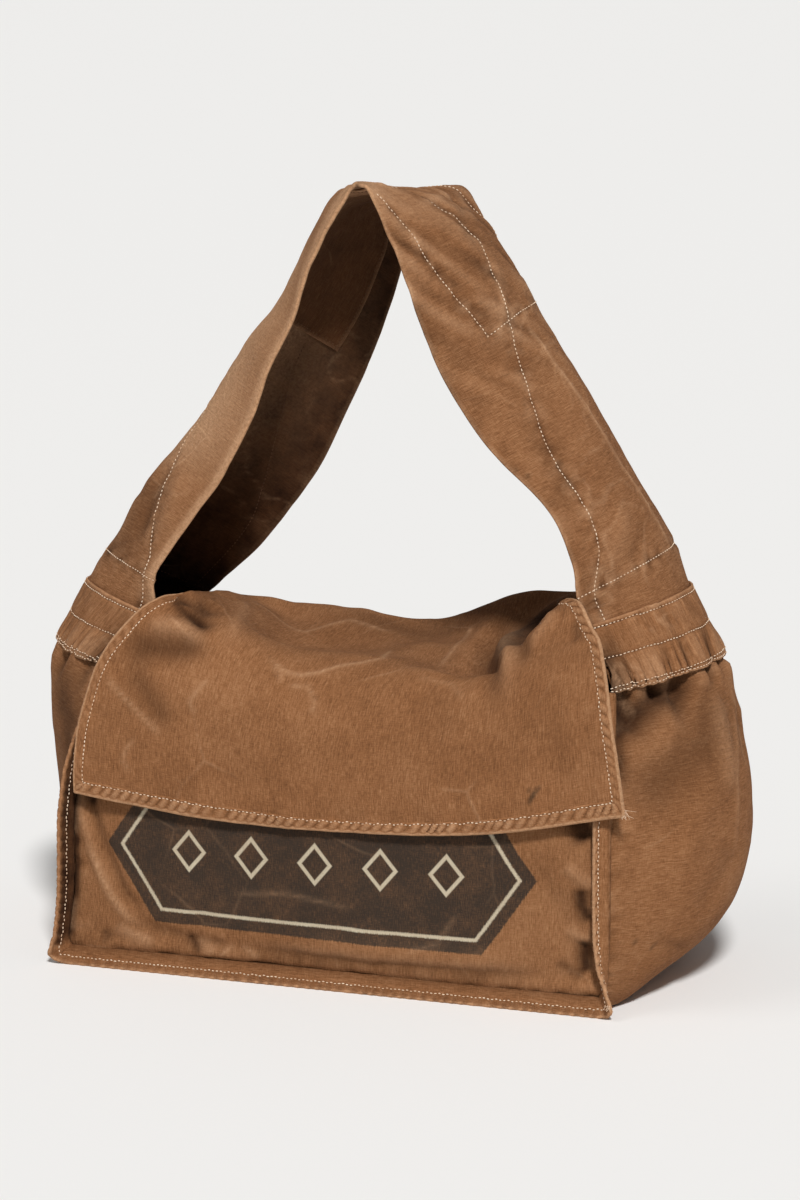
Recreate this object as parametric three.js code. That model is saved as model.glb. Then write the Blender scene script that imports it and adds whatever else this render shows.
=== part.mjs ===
import * as THREE from 'three';

// Driving sizes in millimetres. +Z is up, the bag stands on z = 0 and its front looks along -Y
const bagWidth = 455;
const bagDepth = 230;
const bagHeight = 256;
const gussetHeight = 262;
const gussetBulge = 79;
const bandHeight = 54;
const strapHeight = 628;
const strapWidth = 180;
const flapDrop = 126;
const flapWidth = 457;
const flapShift = 16;
const seamReach = 13;
const canvasThickness = 2;
const strapThickness = 3;
const seamThickness = 3.6;
const clearance = 0.4;
const layerClearance = 0.9;

const halfWidth = bagWidth / 2;
const halfDepth = bagDepth / 2;
const bandTop = gussetHeight + bandHeight;
const strapRise = strapHeight - bandTop;

// Middle of the base's cloth where it lies on the floor
const floorLevel = canvasThickness / 2;

// Each ribbon section has a front edge, a lengthwise fold and a back edge.
// Rise is a share of the gusset's height, out a share of its bulge past the seams,
// reach a share of half the bag's depth.
const gussetColumns = [
  'foldRise', 'foldOut', 'foldReach', 'frontRise', 'frontOut', 'frontReach',
  'backRise', 'backOut', 'backReach',
];
const rightGussetRows = [
  [0, -0.15, 0, 0.043, -0.12, -1, 0.043, -0.12, 1],
  [0.011, 0.09, 0.04, 0.048, -0.045, -1, 0.048, -0.045, 1],
  [0.065, 0.35, 0.09, 0.095, 0, -1, 0.1, 0.01, 1],
  [0.134, 0.6, 0.1, 0.15, 0.01, -1, 0.155, 0.04, 1],
  [0.229, 0.82, 0.12, 0.23, 0.01, -1, 0.235, 0.05, 1],
  [0.347, 0.95, 0.13, 0.34, 0.01, -1, 0.347, 0.06, 1],
  [0.485, 1.01, 0.13, 0.473, 0.01, -1, 0.481, 0.06, 1],
  [0.63, 1, 0.13, 0.615, 0.01, -0.99, 0.622, 0.05, 0.98],
  [0.779, 0.9, 0.14, 0.752, 0.01, -0.94, 0.767, 0.04, 0.92],
  [0.912, 0.76, 0.13, 0.878, -0.01, -0.85, 0.897, 0.04, 0.835],
  [0.996, 0.66, 0.12, 0.958, -0.045, -0.775, 0.973, 0.03, 0.75],
];
const leftGussetRows = [
  [0, -0.15, 0, 0.043, -0.12, -1, 0.043, -0.12, 1],
  [0.011, 0.04, -0.04, 0.048, -0.045, -1, 0.048, -0.045, 1],
  [0.065, 0.16, -0.09, 0.095, -0.03, -1, 0.1, 0.03, 1],
  [0.134, 0.27, -0.12, 0.15, -0.05, -1, 0.155, 0.05, 1],
  [0.229, 0.36, -0.14, 0.23, -0.08, -1, 0.235, 0.08, 1],
  [0.347, 0.43, -0.16, 0.34, -0.09, -1, 0.347, 0.1, 1],
  [0.485, 0.49, -0.17, 0.473, -0.1, -1, 0.475, 0.11, 1],
  [0.63, 0.54, -0.17, 0.615, -0.14, -0.99, 0.607, 0.11, 0.98],
  [0.775, 0.62, -0.17, 0.744, -0.18, -0.94, 0.744, 0.08, 0.92],
  [0.87, 0.6, -0.17, 0.844, -0.23, -0.85, 0.844, 0, 0.835],
  [0.927, 0.51, -0.17, 0.916, -0.27, -0.765, 0.897, -0.08, 0.75],
];

// How far the lowest gusset sections keep the base's profile: flat, with its seams curled up
const cornerFlatness = [1, 0.7, 0.3];
const flatShare = 0.72;

// Upper edge of the two bands, with the same columns, but rise is a share of the band's height
const rightBandRows = [[1, 0.33, 0.07, 0.74, -0.31, -0.71, 0.76, -0.18, 0.7]];
const leftBandRows = [[0.63, 0.16, -0.17, 0.43, -0.82, -0.73, 0.13, -0.47, 0.61]];

// Strap sections from the band to the top. Rise is a share of the strap's rise, across a share
// of half the bag's width. The edges are given from the fold, as shares of the strap's width.
const strapColumns = [
  'foldRise', 'foldAcross', 'foldReach', 'frontAcross', 'frontReach', 'frontRise',
  'backAcross', 'backReach', 'backRise',
];
const rightStrapRows = [
  [0.096, 1.06, 0.044, -0.275, -0.5, -0.13, -0.2, 0.41, -0.08],
  [0.176, 1, 0.044, -0.23, -0.49, -0.105, -0.19, 0.4, -0.08],
  [0.304, 0.89, 0.033, -0.215, -0.456, -0.105, -0.19, 0.4, -0.09],
  [0.478, 0.75, 0.01, -0.305, -0.41, -0.165, -0.19, 0.405, -0.1],
  [0.632, 0.603, 0, -0.315, -0.4, -0.155, -0.18, 0.405, -0.09],
  [0.766, 0.487, 0, -0.275, -0.41, -0.145, -0.15, 0.4, -0.07],
  [0.873, 0.375, 0.02, -0.235, -0.435, -0.06, -0.1, 0.4, -0.08],
  [0.945, 0.265, 0.02, -0.185, -0.455, 0.025, -0.02, 0.405, -0.08],
  [0.98, 0.15, 0, -0.105, -0.445, 0.075, 0.045, 0.42, -0.03],
];
const leftStrapRows = [
  [0.013, 0.99, -0.122, -0.36, -0.33, -0.045, -0.305, 0.455, -0.255],
  [0.084, 0.923, -0.122, -0.33, -0.32, -0.055, -0.31, 0.43, -0.305],
  [0.205, 0.825, -0.122, -0.35, -0.31, -0.065, -0.36, 0.41, -0.355],
  [0.308, 0.708, -0.122, -0.315, -0.3, -0.085, -0.36, 0.4, -0.355],
  [0.433, 0.571, -0.122, -0.28, -0.3, -0.04, -0.345, 0.4, -0.35],
  [0.577, 0.448, -0.122, -0.23, -0.3, -0.02, -0.31, 0.42, -0.345],
  [0.673, 0.345, -0.1, -0.195, -0.32, -0.005, -0.275, 0.42, -0.3],
  [0.776, 0.26, -0.055, -0.155, -0.37, 0.02, -0.235, 0.41, -0.28],
  [0.888, 0.18, -0.022, -0.15, -0.41, 0.035, -0.2, 0.41, -0.24],
  [0.96, 0.09, 0, -0.14, -0.433, 0.08, -0.13, 0.42, -0.1],
];

// The shoulder patch: its ends as shares of the strap's run from right to left, its edges as
// shares of the strap's width
const patchPlace = {
  rightEnd: 0.29,
  leftEnd: 0.64,
  rightFront: 0.25,
  rightBack: 0.97,
  leftFront: 0.04,
  leftBack: 0.88,
};

// Gathers at the top of each gusset, fading out over a few sections
const gathers = { count: 4.5, rows: 2.6, depth: 3.5 };

// Where strap and gusset meet inside a band, as a share of the band's height
const joinShare = 0.4;

// Flap sections from the back edge of the top to the hem. Reach is a share of half the bag's
// depth. The five heights run from the left edge to the right edge as shares of the bag's
// height, in the hem's rows as shares of the flap's drop below it. Left and right are shares
// of half the flap's width, swell a share of half the bag's depth.
const flapColumns = [
  'edgeReach', 'swell', 'left', 'right',
  'leftEdge', 'leftHeight', 'middleHeight', 'rightHeight', 'rightEdge',
];
const topRows = [
  [0.8, 0.02, -0.86, 0.86, 1.03, 1.025, 0.995, 1.12, 1.06],
  [0.5, 0, -0.68, 0.74, 1.06, 1, 0.98, 1.1, 1.1],
  [0.1, 0, -0.66, 0.71, 1.115, 0.99, 0.985, 1.06, 1.15],
  [-0.3, 0, -0.66, 0.7, 1.155, 1.0, 0.99, 1.03, 1.2],
  [-0.6, 0.02, -0.67, 0.72, 1.18, 1.04, 1.02, 1.02, 1.24],
  [-0.79, 0.06, -0.72, 0.79, 1.18, 1.035, 1, 1.05, 1.255],
];
const dropRows = [
  [-0.91, 0.07, -0.81, 0.85, -0.25, 0.02, 0.12, -0.02, -0.4],
  [-1, 0.09, -0.92, 0.9, 0.03, 0.2, 0.31, 0.17, -0.28],
  [-1.07, 0.08, -0.985, 0.945, 0.42, 0.51, 0.62, 0.5, 0.17],
  [-1.11, 0.06, -1, 0.98, 0.7, 0.77, 0.82, 0.73, 0.5],
  [-1.12, 0.05, -1, 1, 0.88, 0.96, 0.96, 0.9, 0.72],
];

// Soft folds of a cloth: a trough or ridge of the given width that runs between two points.
// Across and along are shares of the cloth. Width and depth are shares of half the bag's depth,
// with the depth counted into the bag.
const foldColumns = ['across', 'along', 'toAcross', 'toAlong', 'width', 'depth'];
const flapFolds = [
  [0.76, 0.56, 0.745, 0.76, 0.13, 0.1],
  [0.86, 0.55, 0.79, 0.63, 0.1, -0.07],
  [0.1, 0.52, 0.2, 0.62, 0.12, 0.08],
  [0.3, 0.6, 0.62, 0.57, 0.1, 0.05],
  [0.28, 0.52, 0.6, 0.62, 0.09, -0.045],
];

// A fold's distance along the cloth counts this much more than across it
const foldStretch = 1.4;

// Swell of the two panels in the middle, as shares of half the bag's depth, and how far the front
// panel's middle sags, as shares of the bag's height. They follow the gusset's rows from the
// lowest seam up.
const backSwells = [0, 0.04, 0.07, 0.09, 0.1, 0.1, 0.09, 0.07, 0.04, 0];
const frontSwells = [0, 0.05, 0.085, 0.1, 0.11, 0.11, 0.1, 0.07, 0.03];
const frontSags = [0, 0, 0, 0, 0, 0, 0.02, 0.04, 0.06];

// Lean of the seam allowance from straight forward, in degrees, positive away from the bag.
// The rows follow the gusset's rows from the base up.
const rightFrontLean = [60, 52, 10, -25, -50, -60, -65, -65, -60, -50, -45];
const leftFrontLean = [60, 52, 28, 26, 30, 30, 30, 30, 28, 25, 25];
const backLean = [60, 52, 42, 45, 45, 45, 45, 45, 42, 38, 34];

// At the two lower corners the seam allowance reaches further out, to a square corner
const cornerRow = 1;
const cornerReach = 1.35;

const colours = {
  gusset: 0x9b6d4a,
  front: 0xa07353,
  flap: 0x9a6c4a,
  seam: 0x946745,
  strap: 0x95684a,
  patch: 0x8f6343,
  band: 0xa0714f,
};

// Numbers of steps in the meshes
const gussetAcrossSteps = 16;
const strapAcrossSteps = 12;
const bandSteps = 4;
const stepsPerRow = 2;
const flapStepsPerRow = 1.5;
const flapAcrossSteps = 24;
const panelAcrossSteps = 16;

function readTable(columns, rows) {
  return rows.map((row) => Object.fromEntries(columns.map((name, i) => [name, row[i]])));
}

function catmullRom(a, b, c, d, t) {
  const bend = 2 * a - 5 * b + 4 * c - d;
  const twist = 3 * b - a - 3 * c + d;
  return b + 0.5 * t * (c - a + t * (bend + t * twist));
}

// Smooth point on an open list of points at a fractional index
function pointAlong(points, index) {
  const last = points.length - 1;
  const i = Math.min(Math.max(Math.floor(index), 0), last - 1);
  const t = index - i;
  const b = points[i];
  const c = points[i + 1];
  const a = i > 0 ? points[i - 1] : b.clone().multiplyScalar(2).sub(c);
  const d = i + 2 <= last ? points[i + 2] : c.clone().multiplyScalar(2).sub(b);
  return new THREE.Vector3(
    catmullRom(a.x, b.x, c.x, d.x, t),
    catmullRom(a.y, b.y, c.y, d.y, t),
    catmullRom(a.z, b.z, c.z, d.z, t),
  );
}

function gussetSection(row, side, baseHeight, height) {
  const place = (rise, out, reach) => new THREE.Vector3(
    side * (halfWidth + out * gussetBulge),
    reach * halfDepth,
    baseHeight + rise * height,
  );
  return {
    front: place(row.frontRise, row.frontOut, row.frontReach),
    fold: place(row.foldRise, row.foldOut, row.foldReach),
    back: place(row.backRise, row.backOut, row.backReach),
    flatness: 0,
  };
}

function strapSection(row, side) {
  const fold = new THREE.Vector3(
    side * row.foldAcross * halfWidth,
    row.foldReach * strapWidth,
    bandTop + row.foldRise * strapRise,
  );
  const edge = (across, reach, rise) => fold.clone().add(
    new THREE.Vector3(side * across, reach, rise).multiplyScalar(strapWidth),
  );
  return {
    front: edge(row.frontAcross, row.frontReach, row.frontRise),
    fold,
    back: edge(row.backAcross, row.backReach, row.backRise),
    flatness: 0,
  };
}

function sideSections(side, gussetRows, bandRows, strapRows) {
  const gusset = readTable(gussetColumns, gussetRows)
    .map((row) => gussetSection(row, side, floorLevel, gussetHeight));
  cornerFlatness.forEach((flatness, i) => {
    gusset[i].flatness = flatness;
  });
  const band = readTable(gussetColumns, bandRows)
    .map((row) => gussetSection(row, side, gussetHeight, bandHeight));
  const strap = readTable(strapColumns, strapRows).map((row) => strapSection(row, side));
  return { gusset, band, strap };
}

// One ring of sections: across the base, up the right side, over the top and down the left side
const rightSide = sideSections(1, rightGussetRows, rightBandRows, rightStrapRows);
const leftSide = sideSections(-1, leftGussetRows, leftBandRows, leftStrapRows);
const baseShares = [-0.6, -0.2, 0.2, 0.6];
const baseSections = baseShares.map((share) => {
  const seamLevel = leftSide.gusset[0].front.z;
  const place = (reach, level) => new THREE.Vector3(share * halfWidth, reach * halfDepth, level);
  return {
    front: place(-1, seamLevel),
    fold: place(0, floorLevel),
    back: place(1, seamLevel),
    flatness: 1,
  };
});
const ring = [
  ...[...leftSide.gusset].reverse(),
  ...baseSections,
  ...rightSide.gusset,
  ...rightSide.band,
  ...rightSide.strap,
  ...[...leftSide.strap].reverse(),
  ...leftSide.band,
];
const leftGussetEnd = ring.indexOf(leftSide.gusset[0]);
const rightGussetStart = ring.indexOf(rightSide.gusset[0]);
const rightTop = ring.indexOf(rightSide.gusset.at(-1));
const rightBand = ring.indexOf(rightSide.band[0]);
const leftBand = ring.indexOf(leftSide.band[0]);
const leftTop = ring.length;

// The same on the ring, whose last section meets its first one
function guidePoint(edge, index) {
  const count = ring.length;
  const row = Math.floor(index);
  const near = [-1, 0, 1, 2].map((step) => ring[(row + step + count) % count][edge]);
  return pointAlong(near, 1 + index - row);
}

// Point of the ring at a fractional section and a share from its front edge to its back edge
function ringPoint(index, share) {
  const front = guidePoint('front', index);
  const fold = guidePoint('fold', index);
  fold.z = Math.max(fold.z, floorLevel);
  const back = guidePoint('back', index);
  const frontPart = front.distanceTo(fold);
  const foldShare = frontPart / (frontPart + fold.distanceTo(back));
  const rest = 1 - foldShare;
  const control = fold.clone()
    .addScaledVector(front, -rest * rest)
    .addScaledVector(back, -foldShare * foldShare)
    .divideScalar(2 * foldShare * rest);
  const away = 1 - share;
  const curl = Math.max(Math.abs(2 * share - 1) - flatShare, 0) / (1 - flatShare);
  const edge = share < 0.5 ? front : back;
  const flat = front.clone().lerp(back, share);
  flat.x = THREE.MathUtils.lerp(fold.x, edge.x, curl);
  flat.z = THREE.MathUtils.lerp(fold.z, edge.z, curl * curl);
  const row = Math.floor(index);
  const flatness = THREE.MathUtils.lerp(
    ring[(row + ring.length) % ring.length].flatness,
    ring[(row + 1) % ring.length].flatness,
    index - row,
  );
  const curved = front.clone().multiplyScalar(away * away)
    .addScaledVector(control, 2 * share * away)
    .addScaledVector(back, share * share);
  return curved.lerp(flat, flatness);
}

// Unit normal of a surface from small steps, the first direction crossed with the second
function surfaceNormal(surface, u, v) {
  const step = 1e-3;
  const du = surface(Math.min(u + step, 1), v).sub(surface(Math.max(u - step, 0), v));
  const dv = surface(u, Math.min(v + step, 1)).sub(surface(u, Math.max(v - step, 0)));
  return du.cross(dv).normalize();
}

// Closed cloth wall: a grid of points on either side of a surface, joined round the rim
function clothGeometry(surface, uSteps, vSteps, outerOffset, innerOffset) {
  const positions = [];
  const indices = [];
  const columns = uSteps + 1;
  const layerSize = columns * (vSteps + 1);
  for (const offset of [outerOffset, innerOffset]) {
    for (let j = 0; j <= vSteps; j += 1) {
      for (let i = 0; i <= uSteps; i += 1) {
        const u = i / uSteps;
        const v = j / vSteps;
        const point = surface(u, v).addScaledVector(surfaceNormal(surface, u, v), offset);
        positions.push(point.x, point.y, point.z);
      }
    }
  }
  const at = (i, j) => j * columns + i;
  const quad = (a, b, c, d) => indices.push(a, b, c, a, c, d);
  for (let j = 0; j < vSteps; j += 1) {
    for (let i = 0; i < uSteps; i += 1) {
      const corners = [at(i, j), at(i + 1, j), at(i + 1, j + 1), at(i, j + 1)];
      quad(...corners);
      const inner = corners.map((corner) => corner + layerSize);
      quad(inner[3], inner[2], inner[1], inner[0]);
    }
  }
  const wall = (a, b) => quad(b, a, a + layerSize, b + layerSize);
  for (let i = 0; i < uSteps; i += 1) {
    wall(at(i, 0), at(i + 1, 0));
    wall(at(i + 1, vSteps), at(i, vSteps));
  }
  for (let j = 0; j < vSteps; j += 1) {
    wall(at(uSteps, j), at(uSteps, j + 1));
    wall(at(0, j + 1), at(0, j));
  }
  const geometry = new THREE.BufferGeometry();
  geometry.setAttribute('position', new THREE.Float32BufferAttribute(positions, 3));
  geometry.setIndex(indices);
  geometry.computeVertexNormals();
  return geometry;
}

function fabric(colour) {
  return new THREE.MeshStandardMaterial({ color: colour, roughness: 0.9, metalness: 0 });
}

// Piece of the ring between two sections
function ringPiece(from, to) {
  return (u, v) => ringPoint(from + (to - from) * v, u);
}

// Depth of the gathers that the band pulls into the top of a gusset, deepest just below it.
// The peak is the greatest value of x * (1 - x) ** 2.
function gatherOffset(index, share) {
  const peak = 4 / 27;
  const below = Math.max(Math.min(rightTop - index, index) / gathers.rows, 0);
  const fade = (below * Math.max(1 - below, 0) ** 2) / peak;
  const edges = Math.sin(Math.PI * share);
  return gathers.depth * fade * edges * Math.cos(2 * Math.PI * gathers.count * share);
}

// One strip makes both gussets and the base between them
function gussetStrip() {
  const from = -joinShare;
  const to = rightTop + joinShare;
  const plain = ringPiece(from, to);
  const surface = (u, v) => plain(u, v).addScaledVector(
    surfaceNormal(plain, u, v),
    gatherOffset(from + (to - from) * v, u),
  );
  const half = canvasThickness / 2;
  const steps = Math.round((to - from) * stepsPerRow);
  const geometry = clothGeometry(surface, gussetAcrossSteps, steps, half, -half);
  return new THREE.Mesh(geometry, fabric(colours.gusset));
}

// The strap's two ends stop just above the gusset strip, inside the bands
const strapStart = rightTop + joinShare + clearance / bandHeight;
const strapEnd = leftTop - joinShare - clearance / bandHeight;
const strapSteps = Math.round((strapEnd - strapStart) * stepsPerRow);

function strap() {
  const surface = ringPiece(strapStart, strapEnd);
  const half = strapThickness / 2;
  const geometry = clothGeometry(surface, strapAcrossSteps, strapSteps, half, -half);
  return new THREE.Mesh(geometry, fabric(colours.strap));
}

// Cuff that covers the joint of strap and gusset on the outside
function strapBand(from, to) {
  const surface = ringPiece(from, to);
  const inner = strapThickness / 2 + layerClearance;
  const outer = inner + canvasThickness;
  const geometry = clothGeometry(surface, strapAcrossSteps, bandSteps, outer, inner);
  return new THREE.Mesh(geometry, fabric(colours.band));
}

// Second layer on the inside of the strap where it lies on the shoulder, set a little askew.
// Its rows follow the strap's own, so that the two lie close all over.
function shoulderPatch() {
  const first = Math.round(patchPlace.rightEnd * strapSteps);
  const last = Math.round(patchPlace.leftEnd * strapSteps);
  const surface = (u, v) => {
    const end = THREE.MathUtils.lerp(first, last, v) / strapSteps;
    const front = THREE.MathUtils.lerp(patchPlace.rightFront, patchPlace.leftFront, v);
    const back = THREE.MathUtils.lerp(patchPlace.rightBack, patchPlace.leftBack, v);
    const index = THREE.MathUtils.lerp(strapStart, strapEnd, end);
    return ringPoint(index, THREE.MathUtils.lerp(front, back, u));
  };
  const outer = -strapThickness / 2 - layerClearance;
  const inner = outer - canvasThickness;
  const geometry = clothGeometry(surface, strapAcrossSteps, last - first, outer, inner);
  return new THREE.Mesh(geometry, fabric(colours.patch));
}

function foldOffset(folds, u, v) {
  let offset = 0;
  for (const fold of folds) {
    const du = fold.toAcross - fold.across;
    const dv = fold.toAlong - fold.along;
    const share = ((u - fold.across) * du + (v - fold.along) * dv) / (du * du + dv * dv);
    const near = Math.min(Math.max(share, 0), 1);
    const away = Math.hypot(u - fold.across - near * du, (v - fold.along - near * dv) * foldStretch);
    const spread = fold.width / 2;
    offset += fold.depth * halfDepth * Math.exp(-(away * away) / (spread * spread));
  }
  return offset;
}

// Smooth surface through a grid of points, one list of points for each row
function gridSurface(rows, folds) {
  const base = (u, v) => {
    const across = u * (rows[0].length - 1);
    const column = rows.map((row) => pointAlong(row, across));
    return pointAlong(column, v * (rows.length - 1));
  };
  if (folds.length === 0) return base;
  return (u, v) => base(u, v)
    .addScaledVector(surfaceNormal(base, u, v), foldOffset(folds, u, v));
}

const columnShares = [0, 0.25, 0.5, 0.75, 1];

// How much of a middle's swell is left at a share of the width
function swellAt(share) {
  return 1 - (2 * share - 1) ** 2;
}

// Row of points between two seam points, pushed out along Y in its middle
function panelRow(left, right, push, sag) {
  const inset = canvasThickness + clearance;
  return columnShares.map((share) => {
    const point = left.clone().lerp(right, share);
    point.x += inset * (1 - 2 * share);
    point.y += push * swellAt(share);
    point.z -= sag * swellAt(share);
    return point;
  });
}

function flapRow(row, heightOf) {
  const heights = [
    row.leftEdge, row.leftHeight, row.middleHeight, row.rightHeight, row.rightEdge,
  ].map(heightOf);
  const leftX = flapShift + row.left * flapWidth / 2;
  const rightX = flapShift + row.right * flapWidth / 2;
  const forward = Math.sign(row.edgeReach);
  return columnShares.map((share, i) => {
    const reach = row.edgeReach + forward * row.swell * swellAt(share);
    return new THREE.Vector3(leftX + (rightX - leftX) * share, reach * halfDepth, heights[i]);
  });
}

// Back panel and flap are one cloth: up the back, over the top and down the front
function backPanelRows() {
  return backSwells.map((swell, i) => {
    const left = leftSide.gusset[i + 1].back;
    const right = rightSide.gusset[i + 1].back;
    return panelRow(left, right, swell * halfDepth, 0);
  });
}

function backPanelFlap() {
  const top = readTable(flapColumns, topRows)
    .map((row) => flapRow(row, (height) => height * bagHeight));
  const drop = readTable(flapColumns, dropRows)
    .map((row) => flapRow(row, (height) => bagHeight - height * flapDrop));
  const rows = [...backPanelRows(), ...top, ...drop];
  const surface = gridSurface(rows, readTable(foldColumns, flapFolds));
  const half = canvasThickness / 2;
  const steps = Math.round((rows.length - 1) * flapStepsPerRow);
  const geometry = clothGeometry(surface, flapAcrossSteps, steps, half, -half);
  return new THREE.Mesh(geometry, fabric(colours.flap));
}

function frontPanel() {
  const rows = frontSwells.map((swell, i) => {
    const left = leftSide.gusset[i + 1].front;
    const right = rightSide.gusset[i + 1].front;
    return panelRow(left, right, -swell * halfDepth, frontSags[i] * bagHeight);
  });
  const half = canvasThickness / 2;
  const surface = gridSurface(rows, []);
  const geometry = clothGeometry(surface, panelAcrossSteps, rows.length - 1, half, -half);
  return new THREE.Mesh(geometry, fabric(colours.front));
}

// Seam allowance that stands out of a panel's seam, swept round the left, bottom and right edge.
// Along the bottom its rim lies on the floor.
function seamFlange(edge, leftLean, rightLean, facing) {
  const path = ring.slice(0, rightTop + 1).map((section) => section[edge]);
  const flat = baseShares.map(() => leftLean[0]);
  const leans = [...[...leftLean].reverse(), ...flat, ...rightLean];
  const centre = new THREE.Vector3(0, 0, gussetHeight / 2);
  const step = 0.05;
  const surface = (u, v) => {
    const index = v * (path.length - 1);
    const point = pointAlong(path, index);
    const before = pointAlong(path, Math.max(index - step, 0));
    const tangent = pointAlong(path, Math.min(index + step, path.length - 1)).sub(before);
    const forward = new THREE.Vector3(0, facing, 0);
    const outward = tangent.clone().cross(forward).normalize();
    if (outward.dot(point.clone().sub(centre)) < 0) outward.negate();
    const row = Math.min(Math.floor(index), path.length - 2);
    const degrees = THREE.MathUtils.lerp(leans[row], leans[row + 1], index - row);
    const angle = THREE.MathUtils.degToRad(degrees);
    const reach = forward.multiplyScalar(Math.cos(angle))
      .addScaledVector(outward, Math.sin(angle));
    const fromCorner = Math.min(
      Math.abs(index - rightGussetStart - cornerRow),
      Math.abs(index - leftGussetEnd + cornerRow),
      1,
    );
    const width = seamReach * THREE.MathUtils.lerp(cornerReach, 1, fromCorner);
    const overPanel = Math.max(-Math.sin(angle), 0) * canvasThickness / 2;
    point.y += facing * (seamThickness / 2 + clearance + overPanel);
    point.addScaledVector(reach, u * width);
    const tilt = fromCorner < 1 ? 1 : Math.cos(angle);
    point.z = Math.max(point.z, tilt * seamThickness / 2);
    return point;
  };
  const half = seamThickness / 2;
  const steps = (path.length - 1) * stepsPerRow;
  const geometry = clothGeometry(surface, 1, steps, half, -half);
  return new THREE.Mesh(geometry, fabric(colours.seam));
}

const bag = new THREE.Group();
const pieces = {
  gusset_strip: gussetStrip(),
  front_panel: frontPanel(),
  back_panel_flap: backPanelFlap(),
  front_seam: seamFlange('front', leftFrontLean, rightFrontLean, -1),
  back_seam: seamFlange('back', backLean, backLean, 1),
  strap: strap(),
  shoulder_patch: shoulderPatch(),
  strap_band_left: strapBand(leftBand, leftTop),
  strap_band_right: strapBand(rightTop, rightBand),
};
for (const [name, mesh] of Object.entries(pieces)) {
  mesh.name = name;
  bag.add(mesh);
}

export default bag;
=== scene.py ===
import math

import bpy
import numpy as np
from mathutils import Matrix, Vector


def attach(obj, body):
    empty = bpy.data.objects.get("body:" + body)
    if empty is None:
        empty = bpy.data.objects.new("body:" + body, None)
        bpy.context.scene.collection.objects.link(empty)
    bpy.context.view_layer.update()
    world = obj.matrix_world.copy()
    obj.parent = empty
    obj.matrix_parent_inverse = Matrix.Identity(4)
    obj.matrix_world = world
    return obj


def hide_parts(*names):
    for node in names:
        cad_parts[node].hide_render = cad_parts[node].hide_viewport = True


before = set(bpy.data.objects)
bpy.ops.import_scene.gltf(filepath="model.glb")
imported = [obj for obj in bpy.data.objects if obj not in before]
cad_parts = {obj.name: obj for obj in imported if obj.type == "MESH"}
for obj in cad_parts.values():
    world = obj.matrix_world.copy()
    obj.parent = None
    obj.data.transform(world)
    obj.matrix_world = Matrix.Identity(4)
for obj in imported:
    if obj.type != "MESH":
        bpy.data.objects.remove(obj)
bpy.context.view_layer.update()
print("frame loaded:", len(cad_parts), "nodes")

# The bag's sizes in metres. They repeat the CAD part's, so every piece lies where its node is.
bag = {
    "width": 0.455,
    "depth": 0.230,
    "height": 0.256,
    "gussetHeight": 0.262,
    "gussetBulge": 0.079,
    "bandHeight": 0.054,
    "strapHeight": 0.628,
    "strapWidth": 0.180,
    "flapDrop": 0.126,
    "flapWidth": 0.457,
    "flapShift": 0.016,
    "seamReach": 0.013,
    "canvas": 0.002,
    "strapCloth": 0.003,
    "seamCloth": 0.0036,
    "flatShare": 0.72,
    "cornerReach": 1.35,
    "clearance": 0.0004,
}
halfWidth = bag["width"] / 2
halfDepth = bag["depth"] / 2
floorLevel = bag["canvas"] / 2

# Sections of the gussets from the base up: rise, out and reach of the fold, the front edge and
# the back edge, as shares of the gusset's height, its bulge and half the depth
rightGusset = np.array([
    [0, -0.15, 0, 0.043, -0.12, -1, 0.043, -0.12, 1],
    [0.011, 0.09, 0.04, 0.048, -0.045, -1, 0.048, -0.045, 1],
    [0.065, 0.35, 0.09, 0.095, 0, -1, 0.1, 0.01, 1],
    [0.134, 0.6, 0.1, 0.15, 0.01, -1, 0.155, 0.04, 1],
    [0.229, 0.82, 0.12, 0.23, 0.01, -1, 0.235, 0.05, 1],
    [0.347, 0.95, 0.13, 0.34, 0.01, -1, 0.347, 0.06, 1],
    [0.485, 1.01, 0.13, 0.473, 0.01, -1, 0.481, 0.06, 1],
    [0.63, 1, 0.13, 0.615, 0.01, -0.99, 0.622, 0.05, 0.98],
    [0.779, 0.9, 0.14, 0.752, 0.01, -0.94, 0.767, 0.04, 0.92],
    [0.912, 0.76, 0.13, 0.878, -0.01, -0.85, 0.897, 0.04, 0.835],
    [0.996, 0.66, 0.12, 0.958, -0.045, -0.775, 0.973, 0.03, 0.75],
])
leftGusset = np.array([
    [0, -0.15, 0, 0.043, -0.12, -1, 0.043, -0.12, 1],
    [0.011, 0.04, -0.04, 0.048, -0.045, -1, 0.048, -0.045, 1],
    [0.065, 0.16, -0.09, 0.095, -0.03, -1, 0.1, 0.03, 1],
    [0.134, 0.27, -0.12, 0.15, -0.05, -1, 0.155, 0.05, 1],
    [0.229, 0.36, -0.14, 0.23, -0.08, -1, 0.235, 0.08, 1],
    [0.347, 0.43, -0.16, 0.34, -0.09, -1, 0.347, 0.1, 1],
    [0.485, 0.49, -0.17, 0.473, -0.1, -1, 0.475, 0.11, 1],
    [0.63, 0.54, -0.17, 0.615, -0.14, -0.99, 0.607, 0.11, 0.98],
    [0.775, 0.62, -0.17, 0.744, -0.18, -0.94, 0.744, 0.08, 0.92],
    [0.87, 0.6, -0.17, 0.844, -0.23, -0.85, 0.844, 0, 0.835],
    [0.927, 0.51, -0.17, 0.916, -0.27, -0.765, 0.897, -0.08, 0.75],
])
rightBandTop = np.array([[1, 0.33, 0.07, 0.74, -0.31, -0.71, 0.76, -0.18, 0.7]])
leftBandTop = np.array([[0.63, 0.16, -0.17, 0.43, -0.82, -0.73, 0.13, -0.47, 0.61]])

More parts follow.
